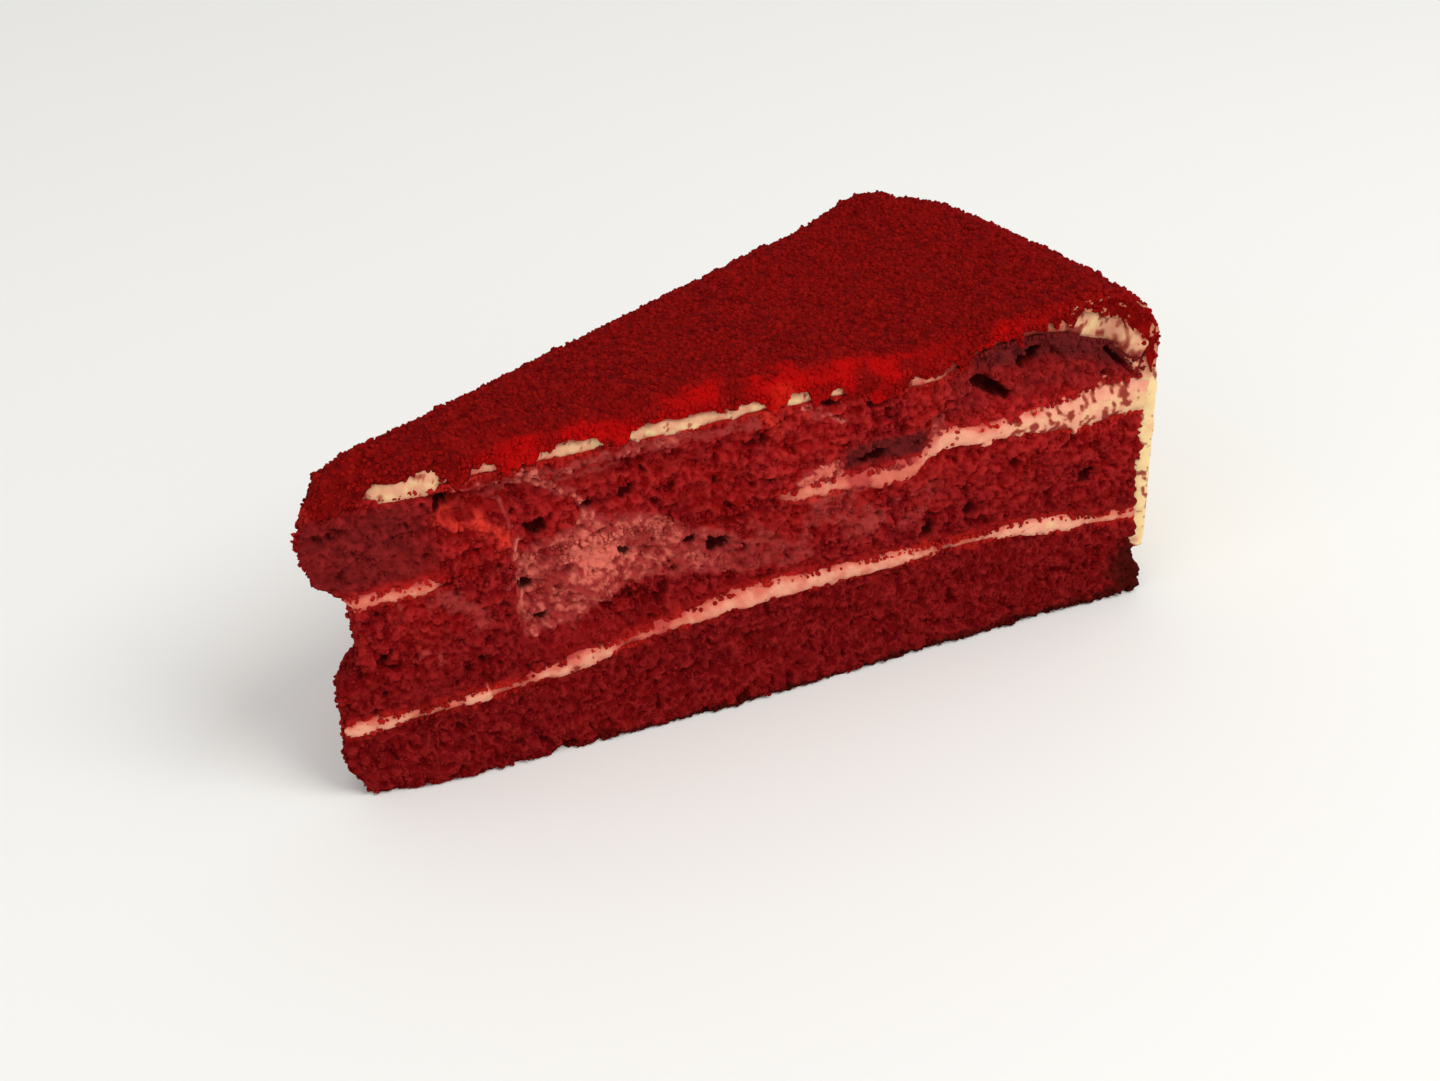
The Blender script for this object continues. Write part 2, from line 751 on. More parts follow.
def torn_sponge(points: Array, seed: int) -> tuple[Array, Array]:
    """Relief of cut and torn sponge: slow swellings, rounded crumbs that each stand at their own height, thin
    walls where gradient noise crosses 0, and pores of two sizes where noise is strong. The places are first
    bent by noise.

    Args:
        points: positions in millimetres.
        seed: sets one pattern apart from another.

    Returns:
        The outward relief in millimetres, and how far a point stands out from its surroundings, from 0 to 1.
    """
    bent = points + 0.55 * np.stack([lumps(points, 1.7, seed + turn) for turn in (1, 2, 3)], axis=-1)
    distance, owner = cells(bent, 1.35, seed + 19)
    crumb = 0.5 * (1.0 - 1.6 * distance**2) + 0.42 * (owner - 0.5)
    wall = fade(np.abs(lumps(bent, 2.4, seed + 5)), 0.0, 0.34)
    pore = smooth(octaves(bent, 3.4, seed + 29, 3), 0.42, 0.95)
    small_pore = smooth(octaves(bent, 1.7, seed + 31, 2), 0.4, 0.9)
    fine = crumb + 0.26 * wall + 0.16 * octaves(points, 0.62, seed + 23, 2) - 1.15 * pore - 0.75 * small_pore
    relief = 0.4 * octaves(points, 5.2, seed, 2) + fine
    return relief - 0.1, np.clip(0.62 + 0.5 * fine, 0.0, 1.0)


# ---- Layers that run round the whole slice ----

SPINE_INSET = 1.6


@dataclass(frozen=True)
class Outline:
    """Stations round the slice's plan: along the near face from the tip, across the rim, back along the far
    face and across the tip. spine gives the station of the slice's middle line that each one faces."""

    radius: Array
    side: Array
    spine: Array
    spine_radius: Array

    @classmethod
    def of(cls, outer: float, face_step: float, rim_step: float) -> "Outline":
        """Even stations along each stretch.

        Args:
            outer: the rim's radius.
            face_step: the distance between stations on the cut faces and the tip.
            rim_step: the same across the rim.

        Returns:
            The closed round of stations.
        """
        inner, half = FORM.tip_radius, FORM.half_angle
        count = round((outer - inner) / face_step)
        radii = np.linspace(inner, outer, count + 1)
        rim = np.linspace(-1.0, 1.0, round(2.0 * half * outer / rim_step) + 1)[1:-1]
        tip = np.linspace(1.0, -1.0, round(2.0 * half * inner / face_step) + 1)[1:-1]
        steps = np.arange(count + 1)
        return cls(
            radius=np.concatenate([radii, np.full(rim.size, outer), radii[::-1], np.full(tip.size, inner)]),
            side=np.concatenate([np.full(count + 1, -1.0), rim, np.full(count + 1, 1.0), tip]),
            spine=np.concatenate([steps, np.full(rim.size, count), steps[::-1], np.zeros(tip.size, int)]),
            spine_radius=np.linspace(inner + SPINE_INSET, outer - SPINE_INSET, count + 1),
        )

    def facing(self) -> Array:
        """The outward direction at each station: square to the way its neighbours run, taken over several
        steps so that it turns evenly at the corners.

        Returns:
            Unit vectors in plan.
        """
        place = FORM.position(self.radius, self.side, np.zeros(self.radius.size))[:, :2]
        run = sum(np.roll(place, -step, axis=0) - np.roll(place, step, axis=0) for step in range(1, 5))
        out = np.stack([run[:, 1], -run[:, 0]], axis=-1)
        return out / np.linalg.norm(out, axis=1, keepdims=True)


class Level(Enum):
    """Where a sponge layer or a filling lies in the cake."""

    BOTTOM = "bottom"
    MIDDLE = "middle"
    TOP = "top"


@dataclass
class Layer(Piece):
    """A band round the whole slice between two surfaces, closed above and below towards the slice's middle
    line. It has rows of points up its height, and stations face_step and rim_step apart round it."""

    level: Level
    rows: int
    face_step: float = 0.27
    rim_step: float = 1.2

    def heights(self, radius: Array, near: Array) -> tuple[Array, Array]:
        """Height of the layer's underside and of its top."""
        raise NotImplementedError

    def relief(self, spots: Spots, share: Array) -> tuple[Array, Masks]:
        """Outward relief of the band and the masks on it."""
        raise NotImplementedError

    def skin(self, radius: Array, side: Array, share: Array, facing: Array) -> tuple[Array, Masks]:
        """Points on the finished band.

        Args:
            radius: on the clean wedge.
            side: -1 on the near cut face, 1 on the far one.
            share: 0 at the layer's underside, 1 at its top.
            facing: the outward direction in plan.

        Returns:
            The points, none of them below the base, and the masks there.
        """
        near = nearness(side)
        height = blend(*self.heights(radius, near), share)
        moved = FORM.ragged_radius(np.broadcast_to(radius, height.shape), near, height)
        spots = Spots.at(moved, np.broadcast_to(side, height.shape), height)
        outward, masks = self.relief(spots, share)
        points = spots.points.copy()
        points[..., :2] += outward[..., None] * facing
        points[..., 2] = np.maximum(points[..., 2], 0.0)
        return points, masks

    def surface(self) -> Surface:
        """The band, with its two closing faces.

        The band is a grid of rows up and stations round. Each point starts on the clean wedge, moves along
        its radius where the tip and the rim are ragged, and then moves outwards by the relief. Above and
        below, each station is joined to the middle line.

        Returns:
            The closed surface.
        """
        outline = Outline.of(FORM.sponge_radius, self.face_step, self.rim_step)
        share = np.linspace(0.0, 1.0, self.rows + 1)[:, None]
        points, masks = self.skin(outline.radius, outline.side, share, outline.facing())
        height = points[..., 2]
        band = np.arange(height.size).reshape(height.shape)
        ring = np.concatenate([band, band[:, :1]], axis=1)
        middle = np.full(outline.spine_radius.size, 0.5)
        below, above = (
            FORM.position(FORM.ragged_radius(outline.spine_radius, middle, level), 0.0 * middle, level)
            for level in self.heights(outline.spine_radius, middle)
        )
        facing = np.append(outline.spine, outline.spine[0])
        under = np.stack([height.size + facing, ring[0]])
        over = np.stack([ring[-1], height.size + middle.size + facing])
        quads = np.concatenate([sheet_faces(rows, flip=True) for rows in (under, ring, over)])
        collapsed = (quads[:, 0] == quads[:, 3]) | (quads[:, 1] == quads[:, 2])
        pinched = quads[collapsed]
        triangles = np.where((pinched[:, 0] == pinched[:, 3])[:, None], pinched[:, :3], pinched[:, [0, 1, 3]])
        return Surface(
            points=np.concatenate([points.reshape(-1, 3), below, above]),
            faces=[quads[~collapsed], triangles],
            masks={key: np.append(mask, np.zeros(2 * middle.size)) for key, mask in masks.items()},
        )


def closed_over(radius: Array, near: Array) -> Array:
    """1 along the near face where the upper filling was dragged away and sponge meets sponge, 0 elsewhere."""
    return smooth(near, 0.85, 0.95) * span(radius, 28.5, 78.5, 3.0)


@dataclass
class SpongeLayer(Layer):
    """A layer of red sponge, open and crumbly where it is cut."""

    lap: float = 0.25

    def heights(self, radius: Array, near: Array) -> tuple[Array, Array]:
        """From the base or the filling below to the filling above or the icing, lapping a little over each,
        and right over the upper filling where it was dragged away.

        Args:
            radius: from the cake's centre.
            near: 1 on the near cut face.

        Returns:
            The height of the layer's underside and of its top.
        """
        lower, lower_half = FORM.lower_cream(radius, near)
        upper, upper_half = FORM.upper_cream(radius, near)
        lap = self.lap + 0.6 * closed_over(radius, near)
        if self.level is Level.BOTTOM:
            return np.zeros(radius.shape), lower - lower_half + self.lap
        if self.level is Level.MIDDLE:
            return lower + lower_half - self.lap, upper - upper_half + lap
        return upper + upper_half - lap, FORM.sponge_skin(radius, near) + self.lap

    def smear(self, spots: Spots) -> Array:
        """Where cream was dragged over the near face: a film between two lines, thickest in one place, drag
        marks, a faint patch nearer the rim and touches near the tip. Noise bends them all and thins them.

        Args:
            spots: places on the clean wedge.

        Returns:
            1 where the film is thick, 0 where there is none.
        """
        bent_r = spots.radius + 1.5 * spots.noise(3.6, 71, 3)
        bent_h = spots.height + 1.1 * spots.noise(2.6, 73, 3)
        to_top = read_off(FILM_TOP, bent_r) - bent_h
        to_foot = bent_h - read_off(FILM_FOOT, bent_r)
        film = span(bent_r, 37.8, 84.0, 1.6) * smooth(to_top, -0.6, 1.0) * smooth(to_foot, -0.6, 1.0)
        film = film * (0.66 + bump((bent_r - 50.9) / 3.6, (bent_h - 31.0) / 3.2))
        film = film * (1.0 - 0.45 * smooth(bent_r, 60.0, 80.0))
        faint = 0.46 * span(bent_r, 73.0, 106.0, 14.0) * span(bent_h, 24.0, 32.5, 5.0)
        faint = faint * smooth(spots.noise(4.2, 77, 3), -0.45, 0.45)
        touches = 0.5 * smooth(spots.noise(3.0, 75, 3), 0.5, 1.0) * span(bent_r, 13.0, 37.0, 4.0)
        touches = touches * span(bent_h, 20.0, 34.0, 3.0)
        mask = np.maximum.reduce([film, faint, touches, *(mark.drawn(bent_r, bent_h) for mark in DRAG_MARKS)])
        thinned = 0.84 + 0.5 * spots.noise(2.4, 79, 3) + 0.42 * spots.noise(0.9, 81, 2)
        return np.clip(mask * np.clip(thinned, 0.25, 1.15), 0.0, 1.0) * spots.on_near

    def lit_ledges(self, spots: Spots) -> Array:
        """Where a broken edge catches the light through a film of cream: marks that noise bends and breaks.

        Args:
            spots: places on the clean wedge.

        Returns:
            How bright it is there.
        """
        bent_r = spots.radius + 0.9 * spots.noise(2.0, self.seed + 45, 2)
        bent_h = spots.height + 0.7 * spots.noise(1.8, self.seed + 46, 2)
        lit = np.maximum.reduce([mark.drawn(bent_r, bent_h) for mark in LIT_MARKS])
        return lit * smooth(spots.noise(1.6, self.seed + 49, 3), -0.45, 0.35) * spots.on_near

    def crust(self, spots: Spots, wander: Array) -> Array:
        """Where the foot was browned against the tin: a line along the base and the foot's corner at the rim.

        Args:
            spots: places on the clean wedge.
            wander: noise that bends the borders.

        Returns:
            How brown it is there.
        """
        line = fade(spots.height + 0.8 * wander, 0.1, 1.6 + 1.6 * smooth(spots.radius, 95.0, 125.0))
        corner = smooth(spots.radius + 2.0 * wander, 135.0, 141.0) * fade(spots.height, 8.0, 13.0)
        return np.maximum(line * smooth(spots.radius, 20.0, 70.0), corner)

    def dusk(self, spots: Spots, wander: Array) -> Array:
        """Where the near face is a duller, purpler red: along the torn upper edge near the rim, faintly a
        little below that, in the cavity over the upper filling, and on the tip's overhang.

        Args:
            spots: places on the clean wedge.
            wander: noise that bends the borders.

        Returns:
            Its strength.
        """
        radius, height = spots.radius, spots.height
        under = FORM.sponge_skin(radius, nearness(spots.side)) - height
        shade = smooth(radius + wander, 107.0, 119.0) * fade(under + 0.9 * wander, 1.8, 5.0)
        faint = 0.38 * smooth(radius, 104.0, 110.0) * fade(under, 6.0, 9.0)
        cavity = span(radius, 90.0, 104.5, 3.0) * span(height + 0.5 * wander, 37.6, 41.2, 1.5)
        tip = 0.62 * fade(radius + wander, 22.0, 30.0) * span(height, 36.5, 49.0, 3.0)
        return np.maximum.reduce([shade, faint, cavity, tip]) * spots.on_near

    def relief(self, spots: Spots, share: Array) -> tuple[Array, Masks]:
        """Torn sponge with the face's hollows: calmer and stained close to the fillings, smoother under the
        film of cream, and rounded at the base.

        Args:
            spots: places on the clean wedge.
            share: 0 at the layer's underside, 1 at its top.

        Returns:
            The outward relief, and the masks crest, pit, smear, stain, lit, crust and dusk.
        """
        near, height = nearness(spots.side), spots.height
        torn, crest = torn_sponge(spots.points, self.seed)
        smear = self.smear(spots)
        holes = hollow_depth(spots) * spots.on_near
        low, high = self.heights(spots.radius, near)
        apart = 9.0 * closed_over(spots.radius, near)
        to_low = height - low + {Level.BOTTOM: math.inf, Level.MIDDLE: 0.0, Level.TOP: apart}[self.level]
        to_high = high - height + {Level.BOTTOM: 0.0, Level.MIDDLE: apart, Level.TOP: 0.0}[self.level]
        calm = 1.0 - 0.55 * fade(np.minimum(to_low, to_high), 0.3, 2.4)
        outward = calm * torn * (1.0 - 0.15 * smear) + 0.2 * smear - holes
        outward -= face_set_back(spots) + 0.5 * fade(height, 0.0, 1.2)
        ragged = 0.6 * spots.noise(1.5, self.seed + 41, 2)
        bleed = np.maximum(fade(to_low + ragged, 0.2, 2.2), 0.7 * fade(to_high + ragged, 0.2, 1.3))
        wander = 1.3 * spots.noise(5.0, self.seed + 47, 3)
        return outward, {
            "crest": crest,
            "pit": smooth(holes, 0.3, 1.6),
            "smear": smear,
            "stain": bleed * (0.35 + 0.65 * smooth(lumps(spots.points, 6.0, self.seed + 43), -0.3, 0.5)),
            "lit": self.lit_ledges(spots),
            "crust": self.crust(spots, wander),
            "dusk": self.dusk(spots, wander),
        }


@dataclass
class Filling(Layer):
    """A layer of cream between two sponges. It bulges a little from the cut faces, and its edges run in and
    out where the sponge's relief stands proud of it. Two tables say, by the radius, how pale and how proud
    it is on the near face."""

    lap: float = 0.95
    ragged: float = 0.5
    pale_along: Table = ()
    proud_along: Table = ()

    def heights(self, radius: Array, near: Array) -> tuple[Array, Array]:
        """The filling's two surfaces, lapping over the sponge above and below.

        Args:
            radius: from the cake's centre.
            near: 1 on the near cut face.

        Returns:
            The height of the underside and of the top.
        """
        cream = FORM.lower_cream if self.level is Level.BOTTOM else FORM.upper_cream
        middle, half = cream(radius, near)
        return middle - half - self.lap, middle + half + self.lap

    def relief(self, spots: Spots, share: Array) -> tuple[Array, Masks]:
        """A rounded bead, more or less proud along its length: noise of two sizes, less a cube of the
        distance from the bead's middle, and more noise towards its two edges.

        Args:
            spots: places on the clean wedge.
            share: 0 at the layer's underside, 1 at its top.

        Returns:
            The outward relief, and the masks pale and stain.
        """
        proud = blend(0.0, read_off(self.proud_along, spots.radius), spots.on_near)
        to_edge = off_middle(share)
        soft = 0.26 * spots.noise(3.0, self.seed, 2) + 0.1 * spots.noise(1.2, self.seed + 5, 2)
        soft = soft + self.ragged * spots.noise(2.0, self.seed + 7, 3) * to_edge**2
        outward = proud + soft - 1.4 * to_edge**3 - face_set_back(spots)
        pale = blend(0.6, read_off(self.pale_along, spots.radius), spots.on_near)
        above = np.clip(2.0 * share - 1.0, 0.0, 1.0)
        pale = pale + 0.3 * spots.noise(4.0, self.seed + 9, 3) - 0.45 * to_edge**2 - 0.8 * above**2
        crumby = 0.72 * span(spots.radius, 116.0, 142.0, 6.0) * (self.level is Level.TOP) * spots.on_near
        stain = smooth(spots.noise(1.6, self.seed + 13, 2) + crumby, 0.68, 1.1)
        return outward, {"pale": np.clip(pale, -0.6, 1.6), "stain": stain}


# ---- Coats over the top and the rim ----

CRUMB_SEED = 331
HANGS = ((9.0, 1.0), (16.0, 1.0), (17.6, 0.0), (19.0, -0.4), (24.0, -0.5), (26.0, -0.6), (27.5, -0.5),
         (28.9, 0.3), (30.0, 1.1), (33.0, 0.9), (34.0, 0.5), (37.0, 0.5), (38.5, 0.85), (40.0, 0.75),
         (44.2, 0.6), (45.4, -0.1), (51.6, -0.2), (52.6, 0.75), (55.8, 0.9), (56.8, -0.1), (58.0, -0.4),
         (66.0, -0.35), (69.0, 0.0), (72.5, 0.1), (76.0, 0.5), (77.2, 1.0), (80.6, 1.0), (81.4, -0.2),
         (84.6, -0.4), (85.4, 0.8), (87.2, 0.9), (88.2, 0.3), (89.6, 0.3), (91.2, 0.8), (93.0, 1.0),
         (97.0, 0.9), (98.2, 0.55), (102.4, 0.6), (103.2, 0.9), (104.0, 0.5), (108.4, 0.2), (110.4, 0.9),
         (114.0, 0.7), (117.0, 0.5), (125.0, 0.3), (128.0, 0.7), (131.2, 0.8), (132.4, 0.0), (135.2, 0.2),
         (136.8, 0.8), (138.4, 1.7), (139.8, 2.4), (141.3, 2.7), (142.5, 2.4), (145.0, 1.1), (147.0, 0.3),
         (150.0, 0.0))


def hang_at(run: Array, wander: Array) -> Array:
    """How far the crumbs hang over the near face's icing, in its thicknesses: a table, made ragged."""
    hang = read_off(HANGS, run + 0.9 * wander)
    return np.clip(hang + (0.4 + 0.25 * hang) * wander, -0.85, 3.2)


def at_cut(side: Array) -> Array:
    """1 on both cut faces, falling off steeply behind them."""
    return np.abs(side) ** 24


@dataclass
class Coat(Piece):
    """A coat over the sponge's top, round its edge and part of the way down the rim."""

    run_start: float
    run_end: float
    rows: tuple[int, int, int]

    def place(self, run: Array, side: Array, share: Array) -> tuple[Array, Masks]:
        """Points and masks at each run, side and share of the thickness."""
        raise NotImplementedError

    def surface(self) -> Surface:
        """The skin of a block, with each point put in its place. Its rows are closest together at the cut
        faces.

        Returns:
            The closed surface.
        """
        lattice, faces = block_lattice(self.rows)
        along, across, through = (lattice[:, axis] / self.rows[axis] for axis in range(3))
        centred = 2.0 * across - 1.0
        side = np.sign(centred) * (1.0 - (1.0 - np.abs(centred)) ** 1.5)
        points, masks = self.place(blend(self.run_start, self.run_end, along), side, through)
        return Surface(points, [faces], masks)


@dataclass
class Icing(Coat):
    """The pale icing: a bead along the cut faces, spread smooth down the rim."""

    lap: float = 0.45

    def place(self, run: Array, side: Array, share: Array) -> tuple[Array, Masks]:
        """The coat's section carried across the slice. Along a cut face it is deeper where the crumbs leave
        it bare, and deepest at the near corner of the rim. Down the rim it has long waves left by the knife
        that spread it.

        Args:
            run: along the sponge's outline.
            side: -1 on the near cut face, 1 on the far one.
            share: 0 inside, 1 outside.

        Returns:
            The points, and the masks pale and stain.
        """
        near, at_face = nearness(side), at_cut(side)
        on_rim = smooth(run, FORM.edge_start + 4.0, FORM.edge_start + 11.0)
        rough = FORM.position(run, side, np.zeros(run.shape))
        brushed = rough * np.array([0.0, 1.0, 0.0]) + run[:, None] * np.array([0.0, 0.0, 0.8])
        waves = 0.22 * octaves(brushed, 8.0, self.seed, 3)
        lift = FORM.contact_gap - self.lap + share * (FORM.icing_at(run, near) + self.lap + on_rim * waves)
        radius, height = FORM.coat_section(run, near, lift)
        filled = FORM.corner_drop(radius, near) * fade(run, FORM.rim_start, FORM.rim_start + 12.0)
        foot = 0.9 * smooth(run, self.run_end - 4.0, self.run_end)
        height = height - (1.0 - share) * filled + foot * octaves(rough, 5.0, self.seed + 3, 2)
        radius = FORM.ragged_radius(radius, near, height)
        wander = octaves(FORM.position(radius, side, height), 2.4, CRUMB_SEED + 5, 3)
        hang = np.where(side < 0.0, np.minimum(hang_at(run, wander), 1.15), 0.6)
        dab = near * np.clip(-1.8 * hang, 0.0, 1.1) * fade(run, 28.0, 32.0)
        below = (1.0 - on_rim) * (np.clip(0.3 - 2.0 * hang, 0.0, 1.2) + 0.45 * wander)
        below = below + 3.7 * near * hump(run, 140.5, 3.3)
        height = height + at_face * (share * dab - (1.0 - share) * (below + 0.3 * dab))
        inwards = on_rim * (0.7 + 0.7 * wander) + 2.2 * near * hump(run, 145.0, 5.0)
        spots = Spots.at(radius - at_face * (1.0 - share) * inwards, side, height)
        bead = 0.3 * spots.noise(3.0, self.seed + 7, 3) - off_middle(share) ** 3 + 0.35 * on_rim
        bead = bead + 1.5 * (1.0 - share) * near * hump(run, 140.0, 4.5) + 0.5 * dab
        spots = spots.pushed(bead, reach=2.8).set_back()

        in_corner = near * smooth(run, 128.0, 132.0)
        pale = 1.25 - 1.5 * hang * (1.0 - np.maximum(on_rim, 0.84 * in_corner)) + 0.3 * on_rim
        pale = pale + 0.35 * spots.noise(3.0, self.seed + 9, 3) - 0.2 * in_corner * (1.0 - on_rim)
        pale = np.minimum(pale, 1.1 + 0.5 * on_rim - 0.1 * dab)
        pale = pale - 0.55 * at_face * (1.0 - on_rim) * off_middle(share) ** 3
        low_edge = smooth(run, self.run_end - 9.0, self.run_end)
        blush = on_rim * fade(run, FORM.edge_start + 8.0, FORM.edge_start + 13.5)
        blush = blush + 0.5 * low_edge * smooth(spots.noise(2.5, self.seed + 15, 2), 0.1, 0.7)
        pale = pale - 1.15 * blush * (0.8 + 0.5 * spots.noise(2.0, self.seed + 17, 3))
        crumby = spots.noise(1.5, self.seed + 13, 3) + 0.3 * in_corner * (1.0 - on_rim)
        stain = smooth(crumby, 0.35, 0.85) * (1.0 - 0.85 * on_rim * (1.0 - at_face))
        stain = np.maximum(stain, near * at_face * span(run, 106.0, 127.0, 4.0))
        return spots.points, {"pale": np.clip(pale, -0.6, 1.6), "stain": stain}


@dataclass
class CrumbCoat(Coat):
    """The coat of fine red crumbs, which the separate crumbs lie on. It hangs over the icing in places."""

    drape: float = 2.5

    def lift_at(self, run: Array, side: Array, share: Array) -> Array:
        """How far outside the sponge a point of the coat lies: the icing, then the coat's thickness with
        rounded clumps, less where it rounds off towards a cut face.

        Args:
            run: along the sponge's outline.
            side: -1 on the near cut face, 1 on the far one.
            share: 0 inside, 1 outside.

        Returns:
            The distance outside the sponge.
        """
        near = nearness(side)
        flat = FORM.position(run, side, np.zeros(run.shape))
        clump, _ = cells(flat, 2.2, self.seed)
        relief = 0.34 * octaves(flat, 4.5, self.seed + 1, 3) + 0.3 * (0.5 - clump)
        to_face = (1.0 - np.abs(side)) * run * math.sin(FORM.half_angle)
        thickness = FORM.crumbs_at(run, near) + 0.3
        rounded = 0.45 * thickness * fade(np.minimum(to_face, run - FORM.tip_radius), 0.0, 3.0)
        ending = smooth(self.run_end - run, 0.0, 6.0 + 3.0 * relief)
        inner = 2.0 * FORM.contact_gap + FORM.icing_at(run, near) - 0.3
        return inner - 0.9 * (1.0 - ending) + share * (thickness - rounded + relief) * (0.15 + 0.85 * ending)

    def place(self, run: Array, side: Array, share: Array) -> tuple[Array, Masks]:
        """The coat's section carried across the slice, with its underside let down over the near face's
        icing.

        Args:
            run: along the sponge's outline.
            side: -1 on the near cut face, 1 on the far one.
            share: 0 inside, 1 outside.

        Returns:
            The points, and the masks thin and bright.
        """
        near = nearness(side)
        radius, height = FORM.coat_section(run, near, self.lift_at(run, side, share))
        rough = FORM.position(run, side, height)
        wander = octaves(rough, 2.4, self.seed + 5, 3)
        far_hang = smooth(octaves(rough, 7.0, self.seed + 6, 2), -0.1, 0.3)
        hang = np.where(side < 0.0, hang_at(run, wander), far_hang)
        at_tip = fade(run, FORM.tip_radius, FORM.tip_radius + 1.5)
        draped = (1.0 - share) * (self.drape * np.maximum(hang, at_tip) + 0.4 * wander)
        height = height - np.maximum(at_cut(side), at_tip) * draped
        spots = Spots.at(FORM.ragged_radius(radius, near, height), side, height)
        outward = 0.25 + 0.4 * wander + 0.35 * np.minimum(hang, 1.0) * (1.0 - share)
        spots = spots.pushed(outward, reach=1.2)
        return spots.set_back().points, crumb_masks(spots, run)


def crumb_masks(spots: Spots, run: Array) -> Masks:
    """Where the crumb coat is thin, so that icing shows through it, and where it is a brighter red.

    Args:
        spots: places on the coat.
        run: along the sponge's outline.

    Returns:
        The masks thin and bright.
    """
    to_near = (spots.side + 1.0) * run * FORM.half_angle
    over_edge = 0.75 * smooth(run, FORM.edge_start + 3.0, FORM.edge_start + 10.0)
    corner = 0.8 * bump((run - 134.0) / 6.0, to_near / 1.4)
    over_corner = 1.35 * bump((run - 146.0) / 5.5, (to_near - 0.5) / 4.0)
    on_edge = 1.3 * bump((run - 141.2) / 2.2, (to_near - 3.8) / 2.8)
    likely = over_edge + np.maximum.reduce([corner, over_corner, on_edge])
    thin = smooth(spots.noise(1.4, 91, 3) + likely, 0.75, 1.15) * smooth(likely, 0.1, 0.4)
    band = fade(to_near, 0.2, 1.6 + 7.4 * smooth(run, 46.0, 72.0)) * smooth(run, 26.0, 50.0)
    band = band * (1.0 - 0.6 * smooth(run, 108.0, 130.0))
    patchy = smooth(spots.noise(7.0, 93, 3), -0.4, 0.5)
    hanging = fade(to_near, 0.0, 1.2) * fade(spots.height, 53.2, 55.0)
    glow = bump((run - 80.0) / 5.0) * fade(to_near, 0.3, 2.6) + 0.45 * bump((run - 37.0) / 8.0) * hanging
    return {"thin": thin, "bright": band * (0.25 + 0.75 * patchy) + 1.1 * glow}


# ---- Separate crumbs ----

GOLDEN = 0.5 * (1.0 + math.sqrt(5.0))
BALL_POINTS = np.array([(-1, GOLDEN, 0), (1, GOLDEN, 0), (-1, -GOLDEN, 0), (1, -GOLDEN, 0),
                        (0, -1, GOLDEN), (0, 1, GOLDEN), (0, -1, -GOLDEN), (0, 1, -GOLDEN),
                        (GOLDEN, 0, -1), (GOLDEN, 0, 1), (-GOLDEN, 0, -1), (-GOLDEN, 0, 1)])
BALL_POINTS = BALL_POINTS / math.hypot(1.0, GOLDEN)
BALL_FACES = np.array([(0, 11, 5), (0, 5, 1), (0, 1, 7), (0, 7, 10), (0, 10, 11), (1, 5, 9), (5, 11, 4),
                       (11, 10, 2), (10, 7, 6), (7, 1, 8), (3, 9, 4), (3, 4, 2), (3, 2, 6), (3, 6, 8),
                       (3, 8, 9), (4, 9, 5), (2, 4, 11), (6, 2, 10), (8, 6, 7), (9, 8, 1)])


def over_balls(values: Array) -> Array:
    """One value for each crumb, given to every point of its ball."""
    return np.repeat(values, len(BALL_POINTS))


def crumb_balls(centres: Array, sizes: Array, rng: Generator) -> Surface:
    """Small uneven lumps: each is a twenty-sided ball, stretched three ways, turned at random and dented.

    Args:
        centres: one point for each crumb.
        sizes: half its length.
        rng: the source of its form.

    Returns:
        One surface of all the crumbs, with the mask tone, which is even over each crumb.
    """
    count = len(centres)
    stretch = rng.uniform(0.62, 1.0, (count, 1, 3))
    dents = rng.uniform(0.72, 1.18, (count, len(BALL_POINTS), 1))
    body = BALL_POINTS * dents * stretch * sizes[:, None, None]
    turns, _ = np.linalg.qr(rng.normal(size=(count, 3, 3)))
    turns *= np.sign(np.linalg.det(turns))[:, None, None]
    points = centres[:, None, :] + body @ turns
    faces = BALL_FACES + (np.arange(count) * len(BALL_POINTS))[:, None, None]
    tone = over_balls(rng.uniform(0.0, 1.0, count))
    return Surface(points.reshape(-1, 3), [faces.reshape(-1, 3)], {"tone": tone})


def balls_on_coat(spots: Spots, run: Array, sizes: Array, rng: Generator, missing: float) -> Surface:
    """Crumbs at these places of the coat, as bright as it is there, and fewer where it is thin.

    Args:
        spots: the crumbs' middles.
        run: along the sponge's outline.
        sizes: half the length of each.
        rng: the source of their form.
        missing: the share that is left out where the coat is thinnest.

    Returns:
        The crumbs as one surface.
    """
    masks = crumb_masks(spots, run)
    kept = rng.uniform(0.0, 1.0, run.size) > missing * masks["thin"]
    surface = crumb_balls(spots.points[kept], sizes[kept], rng)
    surface.masks["bright"] = over_balls(masks["bright"][kept])
    return surface


